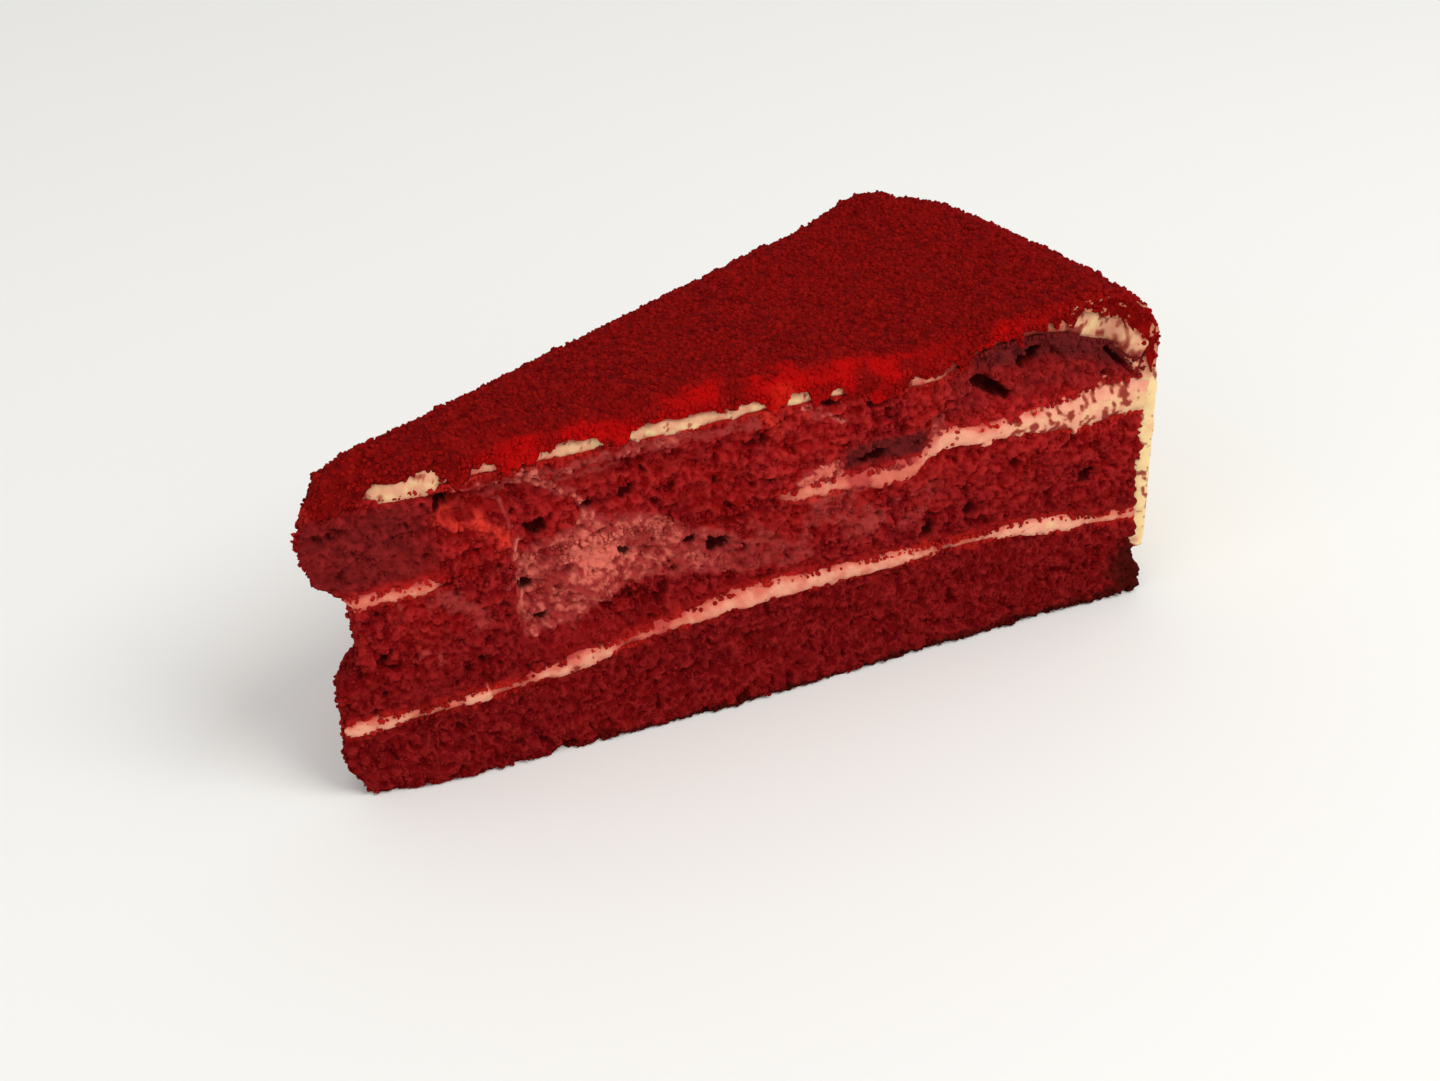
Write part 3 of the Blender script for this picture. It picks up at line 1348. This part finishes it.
@dataclass
class LooseCrumbs:
    """The crumbs that show one by one on the coat and along its edges."""

    coat: CrumbCoat
    icing: Icing
    seed: int = 7
    edge_count: int = 2600
    tip_share: float = 0.08
    rim_count: int = 900

    def plan_scatter(self, rng: Generator, spacing: float) -> tuple[Array, Array]:
        """Even but irregular places over the coat: a square grid in plan, each point strayed from its knot.

        Args:
            rng: the source of the straying.
            spacing: the grid's step.

        Returns:
            The run and the side of each place.
        """
        reach = self.coat.run_end
        steps = np.arange(-reach, reach, spacing)
        plan = np.stack(np.meshgrid(steps[steps > 0.0], steps), axis=-1).reshape(-1, 2)
        plan = plan + rng.uniform(-0.48, 0.48, plan.shape) * spacing
        run, side = np.hypot(plan[:, 0], plan[:, 1]), np.arctan2(plan[:, 1], plan[:, 0]) / FORM.half_angle
        inside = (np.abs(side) < 0.995) & (run > FORM.tip_radius) & (run < reach - 0.4)
        return run[inside], side[inside]

    def top_crumbs(self, seed: int, spacing: float, smallest: float, largest: float, sunk: float) -> Surface:
        """Crumbs over the coat, part sunk in it.

        Args:
            seed: sets the scatter.
            spacing: the distance between neighbours.
            smallest: half the length of the smallest crumb.
            largest: the same for the largest.
            sunk: how far the centre lies inside the coat, in sizes of the crumb.

        Returns:
            The crumbs as one surface.
        """
        rng = np.random.default_rng(seed)
        run, side = self.plan_scatter(rng, spacing)
        sizes = smallest + (largest - smallest) * rng.beta(1.6, 3.2, run.size)
        lift = self.coat.lift_at(run, side, np.ones(run.size)) - sunk * sizes
        radius, height = FORM.coat_section(run, nearness(side), lift)
        radius = FORM.ragged_radius(radius, nearness(side), height)
        return balls_on_coat(Spots.at(radius, side, height).set_back(), run, sizes, rng, missing=0.75)

    def edge_crumbs(self) -> Surface:
        """Crumbs that cling to the cut edges of the coat, and hang over the icing where the coat does.

        Returns:
            The crumbs as one surface.
        """
        rng, count, half = np.random.default_rng(self.seed + 50), self.edge_count, FORM.half_angle
        at_tip = rng.uniform(0.0, 1.0, count) < self.tip_share
        run = np.where(at_tip, FORM.tip_radius, rng.uniform(FORM.tip_radius, FORM.edge_start + 8.0, count))
        side = rng.choice([-1.0, 1.0], count, p=[0.58, 0.42])
        side = np.where(at_tip, rng.uniform(-1.0, 1.0, count), side)
        share = rng.uniform(0.0, 1.0, count) ** 0.8
        sizes = 0.26 + 0.5 * rng.beta(1.5, 3.5, count)
        points, _ = self.coat.place(run, side * 0.9999, share)
        facing = np.stack([np.full(count, -math.sin(half)), side * math.cos(half), np.zeros(count)], axis=-1)
        points = points + facing * (sizes * rng.uniform(-0.5, 0.35, count))[:, None]
        return balls_on_coat(Spots(points, run, side), run, sizes, rng, missing=0.85)

    def rim_crumbs(self) -> Surface:
        """Fine crumbs that have fallen on the icing below the coat's lower edge, fewer and fewer down the
        rim.

        Returns:
            The crumbs as one surface.
        """
        rng = np.random.default_rng(self.seed + 90)
        run = self.coat.run_end - 1.5 + rng.exponential(3.4, self.rim_count)
        side = rng.uniform(-0.99, 0.99, self.rim_count)
        inside = run < self.icing.run_end - 1.0
        run, side = run[inside], side[inside]
        centres, _ = self.icing.place(run, side, np.ones(run.size))
        surface = crumb_balls(centres, 0.16 + 0.34 * rng.beta(1.4, 3.5, run.size), rng)
        surface.masks["bright"] = np.zeros(len(surface.points))
        return surface

    def build(self, material: Material) -> None:
        """Makes the four lots of crumbs.

        Args:
            material: their finish.
        """
        lots = {
            "crumbs_fine": self.top_crumbs(self.seed, spacing=1.0, smallest=0.42, largest=0.88, sunk=0.15),
            "crumbs_large": self.top_crumbs(self.seed + 1, spacing=3.0, smallest=0.7, largest=1.15, sunk=0.2),
            "crumbs_at_edges": self.edge_crumbs(),
            "crumbs_on_rim": self.rim_crumbs(),
        }
        for name, surface in lots.items():
            build_mesh(name, surface, material)


@dataclass
class ClingingCrumbs:
    """Crumbs of sponge that hang on its cut faces and its tip, part sunk."""

    layers: tuple[SpongeLayer, ...]
    seed: int = 17
    count: int = 3000

    def on_layer(self, layer: SpongeLayer, rng: Generator) -> Surface:
        """Crumbs on one layer: over half on the near face, some on the tip and the rest on the far face.
        Nearly a third of them are close to the layer's underside or its top.

        Args:
            layer: the sponge that they hang on.
            rng: the source of their places and forms.

        Returns:
            The crumbs, with the layer's masks.
        """
        count, half = self.count, FORM.half_angle
        face = rng.choice(3, count, p=[0.6, 0.08, 0.32])
        radius = FORM.tip_radius + (FORM.sponge_radius - FORM.tip_radius - 0.5) * rng.uniform(0.0, 1.0, count)
        radius = np.where(face == 1, FORM.tip_radius, radius)
        side = np.choose(face, [-np.ones(count), rng.uniform(-1.0, 1.0, count), np.ones(count)])
        facing = np.stack([np.where(face == 1, -1.0, -math.sin(half)),
                           np.where(face == 1, 0.0, side * math.cos(half))], axis=-1)
        share = rng.uniform(0.01, 0.99, count)
        by_cream = rng.uniform(0.0, 1.0, count) < 0.3
        close = np.abs(rng.normal(0.0, 0.025, count))
        share = np.where(by_cream, np.where(rng.uniform(0.0, 1.0, count) < 0.5, close, 1.0 - close), share)
        points, masks = layer.skin(radius, side, share, facing)
        sizes = 0.24 + 0.5 * rng.beta(1.5, 3.2, count)
        outward = rng.uniform(-0.3, 0.4, count) + 0.5 * by_cream
        points[:, :2] += facing * (sizes * outward)[:, None]
        points[:, 2] = np.maximum(points[:, 2], 1.2 * sizes)
        surface = crumb_balls(points, sizes, rng)
        masks["crest"] = np.clip(0.5 * masks["crest"] + 0.5 * rng.uniform(0.1, 1.0, count), 0.0, 1.0)
        surface.masks = {key: over_balls(mask) for key, mask in masks.items()}
        return surface

    def build(self, material: Material) -> None:
        """Makes one piece of the crumbs on all the layers.

        Args:
            material: their finish.
        """
        rng = np.random.default_rng(self.seed)
        lots = [self.on_layer(layer, rng) for layer in self.layers]
        starts = np.cumsum([0] + [len(lot.points) for lot in lots])
        joined = Surface(
            points=np.concatenate([lot.points for lot in lots]),
            faces=[lot.faces[0] + start for lot, start in zip(lots, starts)],
            masks={key: np.concatenate([lot.masks[key] for lot in lots]) for key in lots[0].masks},
        )
        build_mesh("clinging_crumbs", joined, material)


# ---- Finishes ----

Node = bpy.types.Node
NodeTree = bpy.types.NodeTree
Socket = bpy.types.NodeSocket
Value = float | Socket
Tint = Socket | Colour


def linear(colour: Colour) -> tuple[float, ...]:
    """The linear colour, with its alpha, of one given as screen levels from 0 to 255."""
    curved = [((level / 255.0 + 0.055) / 1.055) ** 2.4 for level in colour]
    return (*(high if level > 10.3 else level / 3294.6 for high, level in zip(curved, colour)), 1.0)


class Graph:
    """Adds nodes to a node tree and joins them up."""

    def __init__(self, tree: NodeTree) -> None:
        """Starts on the tree, with nothing in it."""
        self.tree = tree
        tree.nodes.clear()

    def add(
        self, kind: str, inputs: dict[str | int, Value | tuple] | None = None, **settings: object
    ) -> Node:
        """Adds one node.

        Args:
            kind: the node's type.
            inputs: for each of its sockets, the socket that feeds it or its own value.
            settings: its other properties.

        Returns:
            The node.
        """
        node = self.tree.nodes.new(kind)
        for key, value in settings.items():
            setattr(node, key, value)
        for key, value in (inputs or {}).items():
            if isinstance(value, Socket):
                self.tree.links.new(value, node.inputs[key])
            else:
                node.inputs[key].default_value = value
        return node

    def math(self, operation: str, *values: Value) -> Socket:
        """The result of one sum on these values."""
        return self.add("ShaderNodeMath", dict(enumerate(values)), operation=operation).outputs[0]

    def step(self, value: Value, start: float, end: float, low: float = 0.0, high: float = 1.0) -> Socket:
        """low before start, high after end, and an even curve between."""
        inputs = {"Value": value, "From Min": start, "From Max": end, "To Min": low, "To Max": high}
        return self.add("ShaderNodeMapRange", inputs, interpolation_type="SMOOTHSTEP").outputs[0]

    def mask(self, name: str) -> Socket:
        """A mask that the mesh carries on its points."""
        return self.add("ShaderNodeAttribute", attribute_name=name).outputs["Fac"]

    def layered(self, ground: Tint, *coats: tuple[Value, Colour]) -> Socket:
        """A colour with others laid over it in turn.

        Args:
            ground: the colour to start from.
            coats: the share and the colour of each of the others.

        Returns:
            The colour that comes out.
        """
        for share, colour in coats:
            below, above = (tint if isinstance(tint, Socket) else linear(tint) for tint in (ground, colour))
            ground = self.add("ShaderNodeMix", {0: share, 6: below, 7: above}, data_type="RGBA").outputs[2]
        return ground

    def place(self, size: Value) -> Socket:
        """The object's own coordinates, counted in steps of this many millimetres."""
        spot, scale = self.add("ShaderNodeTexCoord").outputs["Object"], self.math("DIVIDE", 1.0 / MM, size)
        return self.add("ShaderNodeVectorMath", {0: spot, "Scale": scale}, operation="SCALE").outputs[0]

    def effect(self, group: NodeTree, **values: Value) -> bpy.types.bpy_prop_collection:
        """The outputs of a shared group that is placed with its own values for the inputs of these names."""
        return self.add("ShaderNodeGroup", values, node_tree=group).outputs


def shared_group(name: str, inputs: dict[str, float], outputs: tuple[str, ...]) -> tuple[Graph, Node, Node]:
    """Starts a node group that several finishes use.

    Args:
        name: the group's name.
        inputs: its inputs and what they are where nothing sets them.
        outputs: its outputs.

    Returns:
        The group's graph, with its input and its output node.
    """
    tree = bpy.data.node_groups.new(name, "ShaderNodeTree")
    for key, value in inputs.items():
        tree.interface.new_socket(key, in_out="INPUT", socket_type="NodeSocketFloat").default_value = value
    for key in outputs:
        tree.interface.new_socket(key, in_out="OUTPUT", socket_type="NodeSocketFloat")
    graph = Graph(tree)
    return graph, graph.add("NodeGroupInput"), graph.add("NodeGroupOutput")


def crumb_grain() -> NodeTree:
    """Crumb grain: rounded clumps from the distance to scattered centres, with finer noise over them.

    Returns:
        The group, with the height and the tone of the grain.
    """
    graph, given, out = shared_group("crumb_grain", {"Size": 1.0}, ("Height", "Tone"))
    place = graph.place(given.outputs["Size"])
    clump = graph.add("ShaderNodeTexVoronoi", {"Vector": place, "Scale": 1.0}, feature="SMOOTH_F1")
    clump.inputs["Smoothness"].default_value = 0.35
    noise = graph.add("ShaderNodeTexNoise", {"Vector": place, "Scale": 1.3, "Detail": 2.0, "Roughness": 0.55})
    dome = graph.math("SUBTRACT", 1.0, clump.outputs["Distance"])
    tone = graph.add("ShaderNodeSeparateColor", {"Color": clump.outputs["Color"]}).outputs[0]
    speckle = graph.math("MULTIPLY", noise.outputs["Fac"], 0.6)
    graph.tree.links.new(graph.math("MULTIPLY_ADD", noise.outputs["Fac"], 0.9, dome), out.inputs["Height"])
    graph.tree.links.new(graph.math("MULTIPLY_ADD", tone, 0.4, speckle), out.inputs["Tone"])
    return graph.tree


def noise_mask(name: str, inputs: dict[str, float], detail: float,
               shape: Callable[[Graph, Socket, Node], Socket]) -> NodeTree:
    """A mask made of detailed noise.

    Args:
        name: the group's name.
        inputs: its inputs, Size among them, and what they are where nothing sets them.
        detail: how many octaves the noise has.
        shape: turns the noise into the mask.

    Returns:
        The group.
    """
    graph, given, out = shared_group(name, inputs, ("Mask",))
    place = graph.place(given.outputs["Size"])
    noise = graph.add("ShaderNodeTexNoise", {"Vector": place, "Scale": 1.0, "Detail": detail}).outputs["Fac"]
    graph.tree.links.new(shape(graph, noise, given), out.inputs["Mask"])
    return graph.tree


def winding_lines(graph: Graph, noise: Socket, given: Node) -> Socket:
    """Strands: thin winding lines where noise crosses its middle."""
    return graph.step(graph.math("ABSOLUTE", graph.math("SUBTRACT", noise, 0.5)), 0.045, 0.0)


def strong_spots(graph: Graph, noise: Socket, given: Node) -> Socket:
    """Specks: irregular blots where noise is strongest, more of them with a larger Share."""
    level = graph.math("SUBTRACT", 0.78, given.outputs["Share"])
    return graph.step(graph.math("SUBTRACT", noise, level), 0.0, 0.07)


def soft_patches(graph: Graph, noise: Socket, given: Node) -> Socket:
    """Mottle: the noise itself, spread to fill 0 to 1."""
    return graph.step(noise, 0.34, 0.66)


class SharedEffects:
    """The node groups that more than one finish uses, each built once."""

    def __init__(self) -> None:
        """Builds the four groups."""
        self.grain = crumb_grain()
        self.strands = noise_mask("thin_strands", {"Size": 2.0}, 3.0, winding_lines)
        self.specks = noise_mask("stray_specks", {"Size": 1.0, "Share": 0.3}, 2.0, strong_spots)
        self.mottle = noise_mask("soft_mottle", {"Size": 6.0}, 3.0, soft_patches)


@dataclass(frozen=True)
class Finish:
    """What every finish here has: its name, its roughness, its weak gloss, the depth of its fine grain, and
    how much light scatters in it, how far, and how far for each colour. Depth and reach in millimetres."""

    name: str
    effects: SharedEffects
    roughness: float = 0.9
    gloss: float = 0.02
    grain_depth: float = 0.25
    scatter: float = 0.0
    scatter_reach: float = 1.5
    scatter_spread: tuple[float, float, float] = (1.0, 0.45, 0.25)

    def look(self, graph: Graph) -> tuple[Socket, Socket, Value]:
        """The finish's colour, the height of its grain in millimetres, and its roughness."""
        raise NotImplementedError

    def make(self) -> Material:
        """Builds the material: the finish's own colour and grain on a plain shader.

        Returns:
            The material.
        """
        material = bpy.data.materials.new(self.name)
        material.use_nodes = True
        graph = Graph(material.node_tree)
        colour, height, roughness = self.look(graph)
        depth = self.grain_depth * MM
        dents = graph.add("ShaderNodeBump", {"Height": height, "Strength": 1.0, "Distance": depth})
        shader = graph.add("ShaderNodeBsdfPrincipled", {
            "Base Color": colour,
            "Roughness": roughness,
            "Specular IOR Level": self.gloss,
            "Normal": dents.outputs["Normal"],
            "Subsurface Weight": self.scatter,
            "Subsurface Radius": self.scatter_spread,
            "Subsurface Scale": self.scatter_reach * MM,
        })
        graph.add("ShaderNodeOutputMaterial", {"Surface": shader.outputs["BSDF"]}, is_active_output=True)
        LOG.info("finish %s", self.name)
        return material


@dataclass(frozen=True)
class SpongeFinish(Finish):
    """Deep red open crumb, darker low down and in its pores, with cream dragged over it and a browned
    foot."""

    pore: Colour = (50, 4, 5)
    body: Colour = (139, 12, 13)
    crest: Colour = (178, 40, 38)
    hollow: Colour = (92, 7, 9)
    wine: Colour = (104, 12, 22)
    foot: Colour = (92, 6, 9)
    strand: Colour = (176, 44, 42)
    dusk: Colour = (94, 28, 28)
    cream_stain: Colour = (196, 36, 28)
    lit_ledge: Colour = (218, 58, 44)
    smear_thin: Colour = (158, 50, 47)
    smear_thick: Colour = (228, 116, 98)
    crust: Colour = (62, 13, 8)

    def look(self, graph: Graph) -> tuple[Socket, Socket, Value]:
        """Body red mottled with wine and crest and darker towards the foot, then stained, smeared and
        browned.

        Args:
            graph: where the nodes go.

        Returns:
            The colour, the grain's height and the roughness.
        """
        coarse = graph.effect(self.effects.grain, Size=1.9)
        fine = graph.effect(self.effects.grain, Size=0.8)
        patches = graph.effect(self.effects.mottle, Size=9.0)["Mask"]
        blots = graph.effect(self.effects.mottle, Size=2.6)["Mask"]
        strands = graph.effect(self.effects.strands, Size=2.2)["Mask"]
        crest = graph.math("ADD", graph.mask("crest"), graph.math("MULTIPLY", fine["Tone"], 0.3))
        smear = graph.mask("smear")
        film = graph.math("MULTIPLY", smear, graph.step(crest, 0.2, 0.8, 0.55, 1.08))
        above_base = graph.add("ShaderNodeSeparateXYZ", {0: graph.place(1.0)}).outputs["Z"]
        colour = graph.layered(
            self.body,
            (graph.step(patches, 0.3, 1.0, 0.0, 0.4), self.wine),
            (graph.step(crest, 0.7, 0.2, 0.0, 0.85), self.hollow),
            (graph.step(crest, 0.78, 1.2, 0.0, 0.8), self.crest),
            (graph.step(blots, 0.3, 1.0, 0.0, 0.4), self.hollow),
            (graph.step(above_base, 42.0, 8.0, 0.0, 0.66), self.foot),
            (graph.math("MULTIPLY", strands, 0.3), self.strand),
            (graph.math("MULTIPLY", graph.mask("stain"), 0.8), self.cream_stain),
            (graph.math("MULTIPLY", graph.mask("dusk"), 0.88), self.dusk),
            (graph.math("MULTIPLY", graph.mask("lit"), 0.85), self.lit_ledge),
            (graph.step(film, 0.05, 0.5), self.smear_thin),
            (graph.step(film, 0.5, 1.0, 0.0, 0.8), self.smear_thick),
            (graph.step(graph.mask("pit"), 0.15, 0.9, 0.0, 0.88), self.pore),
            (graph.step(graph.mask("crust"), 0.0, 1.0, 0.0, 0.92), self.crust),
        )
        height = graph.math("MULTIPLY_ADD", fine["Height"], 0.5, coarse["Height"])
        return colour, height, graph.step(smear, 0.2, 0.8, self.roughness, 0.6)


@dataclass(frozen=True)
class CreamFinish(Finish):
    """Cream that has taken up red from the sponge: salmon, paler where it is thick, with crumbs stuck in
    it."""

    roughness: float = 0.6
    gloss: float = 0.2
    grain_depth: float = 0.1
    scatter: float = 0.25
    ivory: Colour = (232, 186, 138)
    pale: Colour = (232, 158, 130)
    salmon: Colour = (214, 108, 86)
    blush: Colour = (188, 64, 56)
    browned: Colour = (176, 84, 54)
    crumb: Colour = (138, 18, 15)
    speck_share: float = 0.1

    def look(self, graph: Graph) -> tuple[Socket, Socket, Value]:
        """Blush to ivory by the mask pale and fine mottling, then specks and stains of crumb.

        Args:
            graph: where the nodes go.

        Returns:
            The colour, the grain's height and the roughness.
        """
        grain = graph.effect(self.effects.grain, Size=0.9)
        soft = graph.effect(self.effects.mottle, Size=2.2)["Mask"]
        share = graph.math("MULTIPLY_ADD", soft, 0.35, graph.math("SUBTRACT", graph.mask("pale"), 0.17))
        specks = graph.effect(self.effects.specks, Size=1.6, Share=self.speck_share)["Mask"]
        stain = graph.math("MULTIPLY", graph.mask("stain"), graph.step(grain["Tone"], 0.1, 0.4, 0.6, 1.0))
        colour = graph.layered(
            self.blush,
            (graph.step(share, -0.45, 0.1), self.salmon),
            (graph.step(share, 0.1, 0.85), self.pale),
            (graph.step(share, 0.9, 1.4), self.ivory),
            (graph.math("MULTIPLY", specks, 0.8), self.crumb),
            (graph.step(stain, 0.0, 0.4, 0.0, 0.8), self.browned),
            (graph.step(stain, 0.3, 0.9, 0.0, 0.85), self.crumb),
        )
        return colour, grain["Height"], self.roughness


@dataclass(frozen=True)
class IcingFinish(CreamFinish):
    """The icing: ivory where it is thick and smooth, pinker where crumbs have rubbed it."""

    roughness: float = 0.5
    gloss: float = 0.3
    grain_depth: float = 0.06
    ivory: Colour = (238, 206, 148)
    pale: Colour = (222, 160, 124)
    speck_share: float = 0.12


@dataclass(frozen=True)
class CrumbFinish(Finish):
    """Fine dry crumbs: each its own shade of red, brighter by the near edge, with icing showing where they
    are thin."""

    dark: Colour = (99, 8, 8)
    body: Colour = (122, 10, 9)
    light: Colour = (144, 17, 14)
    strand: Colour = (156, 24, 20)
    bright: Colour = (184, 10, 9)
    glowing: Colour = (208, 34, 20)
    icing: Colour = (214, 138, 104)

    def look(self, graph: Graph) -> tuple[Socket, Socket, Value]:
        """Dark to light by each crumb's own tone and by fine noise, then brighter by its mask, then icing.

        Args:
            graph: where the nodes go.

        Returns:
            The colour, the grain's height and the roughness.
        """
        coarse = graph.effect(self.effects.grain, Size=1.1)
        fine = graph.effect(self.effects.grain, Size=0.4)
        patches = graph.effect(self.effects.mottle, Size=7.0)["Mask"]
        strands = graph.effect(self.effects.strands, Size=3.2)["Mask"]
        own = graph.math("ADD", graph.math("MULTIPLY", graph.mask("tone"), 0.5), coarse["Tone"])
        lively = graph.math("MULTIPLY", graph.mask("bright"), graph.step(patches, 0.0, 1.0, 0.55, 1.0))
        ragged = graph.math("ADD", graph.mask("thin"), graph.math("MULTIPLY", fine["Tone"], 0.5))
        colour = graph.layered(
            self.dark,
            (graph.step(own, 0.35, 0.6), self.body),
            (graph.step(own, 0.62, 1.0, 0.0, 0.9), self.light),
            (graph.math("MULTIPLY", strands, 0.3), self.strand),
            (graph.step(lively, 0.0, 0.9, 0.0, 0.85), self.bright),
            (graph.step(lively, 0.9, 1.7), self.glowing),
            (graph.step(ragged, 0.55, 0.85, 0.0, 0.85), self.icing),
        )
        return colour, graph.math("MULTIPLY_ADD", fine["Height"], 0.5, coarse["Height"]), self.roughness


@dataclass(frozen=True)
class FloorFinish(Finish):
    """A plain pale studio floor."""

    grain_depth: float = 0.0
    tint: Colour = (245, 244, 240)
    shade: Colour = (242, 241, 237)

    def look(self, graph: Graph) -> tuple[Socket, Socket, Value]:
        """One pale tint with a faint mottle.

        Args:
            graph: where the nodes go.

        Returns:
            The colour, the grain's height and the roughness.
        """
        mottle = graph.effect(self.effects.mottle, Size=300.0)["Mask"]
        share = graph.math("MULTIPLY", mottle, 0.2)
        return graph.layered(self.tint, (share, self.shade)), mottle, self.roughness


# ---- Studio ----

SLICE_MIDDLE = (0.0, 0.0, 0.03)
SENSOR_WIDTH = 36.0


@dataclass(frozen=True)
class SoftLight:
    """A square light: where it stands, its side in metres and its power in watts. It looks at the slice."""

    name: str
    place: tuple[float, float, float]
    side: float
    power: float

    def build(self) -> None:
        """Adds the light, turned towards the slice's middle."""
        lamp = bpy.data.lights.new(self.name, "AREA")
        lamp.shape, lamp.size, lamp.energy = "SQUARE", self.side, self.power
        holder = bpy.data.objects.new(self.name, lamp)
        turned = (Vector(self.place) - Vector(SLICE_MIDDLE)).to_track_quat("Z", "Y").to_matrix().to_4x4()
        holder.matrix_world = Matrix.Translation(self.place) @ turned
        bpy.context.scene.collection.objects.link(holder)


@dataclass(frozen=True)
class Studio:
    """A pale floor, soft light and the camera."""

    effects: SharedEffects
    camera_place: tuple[float, float, float] = (-0.15934, -0.23930, 0.2071)
    azimuth: float = -33.9
    elevation: float = 33.2
    roll: float = -2.1
    lens: float = 53.575
    ambient: float = 0.64
    floor_side: float = 6.0
    lights: tuple[SoftLight, ...] = (
        SoftLight("key", (0.28, -0.62, 0.86), side=0.55, power=5.6),
        SoftLight("fill", (-0.9, -0.3, 0.7), side=0.8, power=1.6),
    )

    def build(self) -> None:
        """Builds the floor, the lights, the even light from all round, and the camera."""
        self.build_floor()
        for light in self.lights:
            light.build()
        world = bpy.data.worlds.new("studio")
        world.use_nodes = True
        backdrop = world.node_tree.nodes["Background"]
        backdrop.inputs["Color"].default_value = (1.0, 1.0, 1.0, 1.0)
        backdrop.inputs["Strength"].default_value = self.ambient
        bpy.context.scene.world = world
        bpy.context.scene.view_settings.view_transform = "Standard"
        self.build_camera()

    def build_floor(self) -> None:
        """Lays a square of floor under the slice."""
        half = 0.5 * self.floor_side
        mesh = bpy.data.meshes.new("floor")
        mesh.from_pydata([(-half, -half, 0.0), (half, -half, 0.0), (half, half, 0.0), (-half, half, 0.0)], [],
                         [(0, 1, 2, 3)])
        mesh.materials.append(FloorFinish("floor", self.effects).make())
        floor = bpy.data.objects.new("floor", mesh)
        bpy.context.scene.collection.objects.link(floor)

    def build_camera(self) -> None:
        """Places the camera: it looks along its azimuth (0 is +Y) and down by its elevation, and leans by its
        roll."""
        turn, tilt, lean = (math.radians(angle) for angle in (self.azimuth, self.elevation, self.roll))
        back = Vector((math.sin(turn) * math.cos(tilt), -math.cos(turn) * math.cos(tilt), math.sin(tilt)))
        level = Vector((0.0, 0.0, 1.0)).cross(back).normalized()
        upright = back.cross(level)
        right = level * math.cos(lean) + upright * math.sin(lean)
        up = upright * math.cos(lean) - level * math.sin(lean)
        axes = Matrix((right, up, back)).transposed().to_4x4()
        camera = bpy.data.cameras.new("camera")
        camera.lens, camera.sensor_width, camera.clip_start = self.lens, SENSOR_WIDTH, 0.01
        holder = bpy.data.objects.new("camera", camera)
        holder.matrix_world = Matrix.Translation(self.camera_place) @ axes
        bpy.context.scene.collection.objects.link(holder)
        bpy.context.scene.camera = holder


# ---- The slice ----

SPONGE_SEED = 301
LOWER_PALE = ((9, 0.65), (11, 0.8), (17, 0.75), (20, 0.3), (27, 0.1), (28.4, 0.8), (31.4, 0.8), (33, 0.1),
              (38, 0.1), (43, 0.6), (51, 0.5), (53, -0.2), (60, -0.3), (64, 0.6), (101, 0.75), (105, 0.2),
              (114, 0.3), (121, 0.9), (130, 0.88), (133, 0.3), (143, 0.2))
LOWER_PROUD = ((9, 0.3), (12, 0.8), (19, 0.2), (27, 0.0), (28.4, 0.6), (31.4, 0.6), (33, 0.0), (38, 0.0),
               (43, 0.9), (51, 0.8), (54, 0.0), (60, 0.1), (66, 0.75), (101, 0.7), (105, 0.0), (114, 0.0),
               (121, 0.8), (130, 0.7), (134, 0.2), (143, 0.3))
UPPER_PALE = ((9, -0.2), (13, 0.1), (26, 0.2), (30, -0.4), (79, 0.1), (86, 0.2), (90, 0.15), (91.5, -0.7),
              (93.4, -0.7), (95, 0.1), (101, 0.15), (104, 0.5), (107, 1.0), (114, 0.8), (122, 0.85),
              (126, 1.15), (134, 1.05), (143, 1.2))
UPPER_PROUD = ((9, -0.3), (14, 0.6), (25, 0.5), (29, -1.9), (77, -1.9), (81, 0.5), (96, 0.6), (105, 0.8),
               (143, 0.7))


@dataclass
class RedVelvetSlice:
    """The whole slice: sponge, fillings, icing, coat and loose crumbs."""

    effects: SharedEffects

    def build(self) -> None:
        """Makes each piece and dresses it."""
        sponge = SpongeFinish("red_sponge", self.effects).make()
        cream = CreamFinish("pink_cream", self.effects).make()
        icing = IcingFinish("ivory_icing", self.effects).make()
        crumb = CrumbFinish("red_crumbs", self.effects).make()
        layers = (
            SpongeLayer("bottom_sponge", "sponge_bottom", "sponge", SPONGE_SEED, Level.BOTTOM, rows=56,
                        rim_step=0.35),
            SpongeLayer("middle_sponge", "sponge_middle", "sponge", SPONGE_SEED, Level.MIDDLE, rows=76),
            SpongeLayer("top_sponge", "sponge_top", "sponge", SPONGE_SEED, Level.TOP, rows=54),
        )
        for layer in layers:
            layer.build(sponge)
        ClingingCrumbs(layers).build(sponge)
        Filling("lower_filling", "cream_lower", "filling", seed=311, level=Level.BOTTOM, rows=14,
                pale_along=LOWER_PALE, proud_along=LOWER_PROUD).build(cream)
        Filling("upper_filling", "cream_upper", "filling", seed=312, level=Level.TOP, rows=20,
                pale_along=UPPER_PALE, proud_along=UPPER_PROUD, ragged=1.1).build(cream)
        icing_coat = Icing("icing_coat", "frosting", "icing", seed=321, run_start=FORM.tip_radius + 1.2,
                           run_end=RIM_END, rows=(520, 60, 9))
        icing_coat.build(icing)
        coat = CrumbCoat("crumb_layer", "crumb_coat", "crumbs", seed=CRUMB_SEED, run_start=FORM.tip_radius,
                         run_end=FORM.rim_start + 1.0, rows=(300, 90, 8))
        coat.build(crumb)
        LooseCrumbs(coat, icing_coat).build(crumb)


def main() -> None:
    """Builds the slice and the studio."""
    logging.basicConfig(level=logging.INFO, format="%(name)s %(message)s")
    effects = SharedEffects()
    RedVelvetSlice(effects).build()
    Studio(effects).build()


if __name__ == "__main__":
    main()
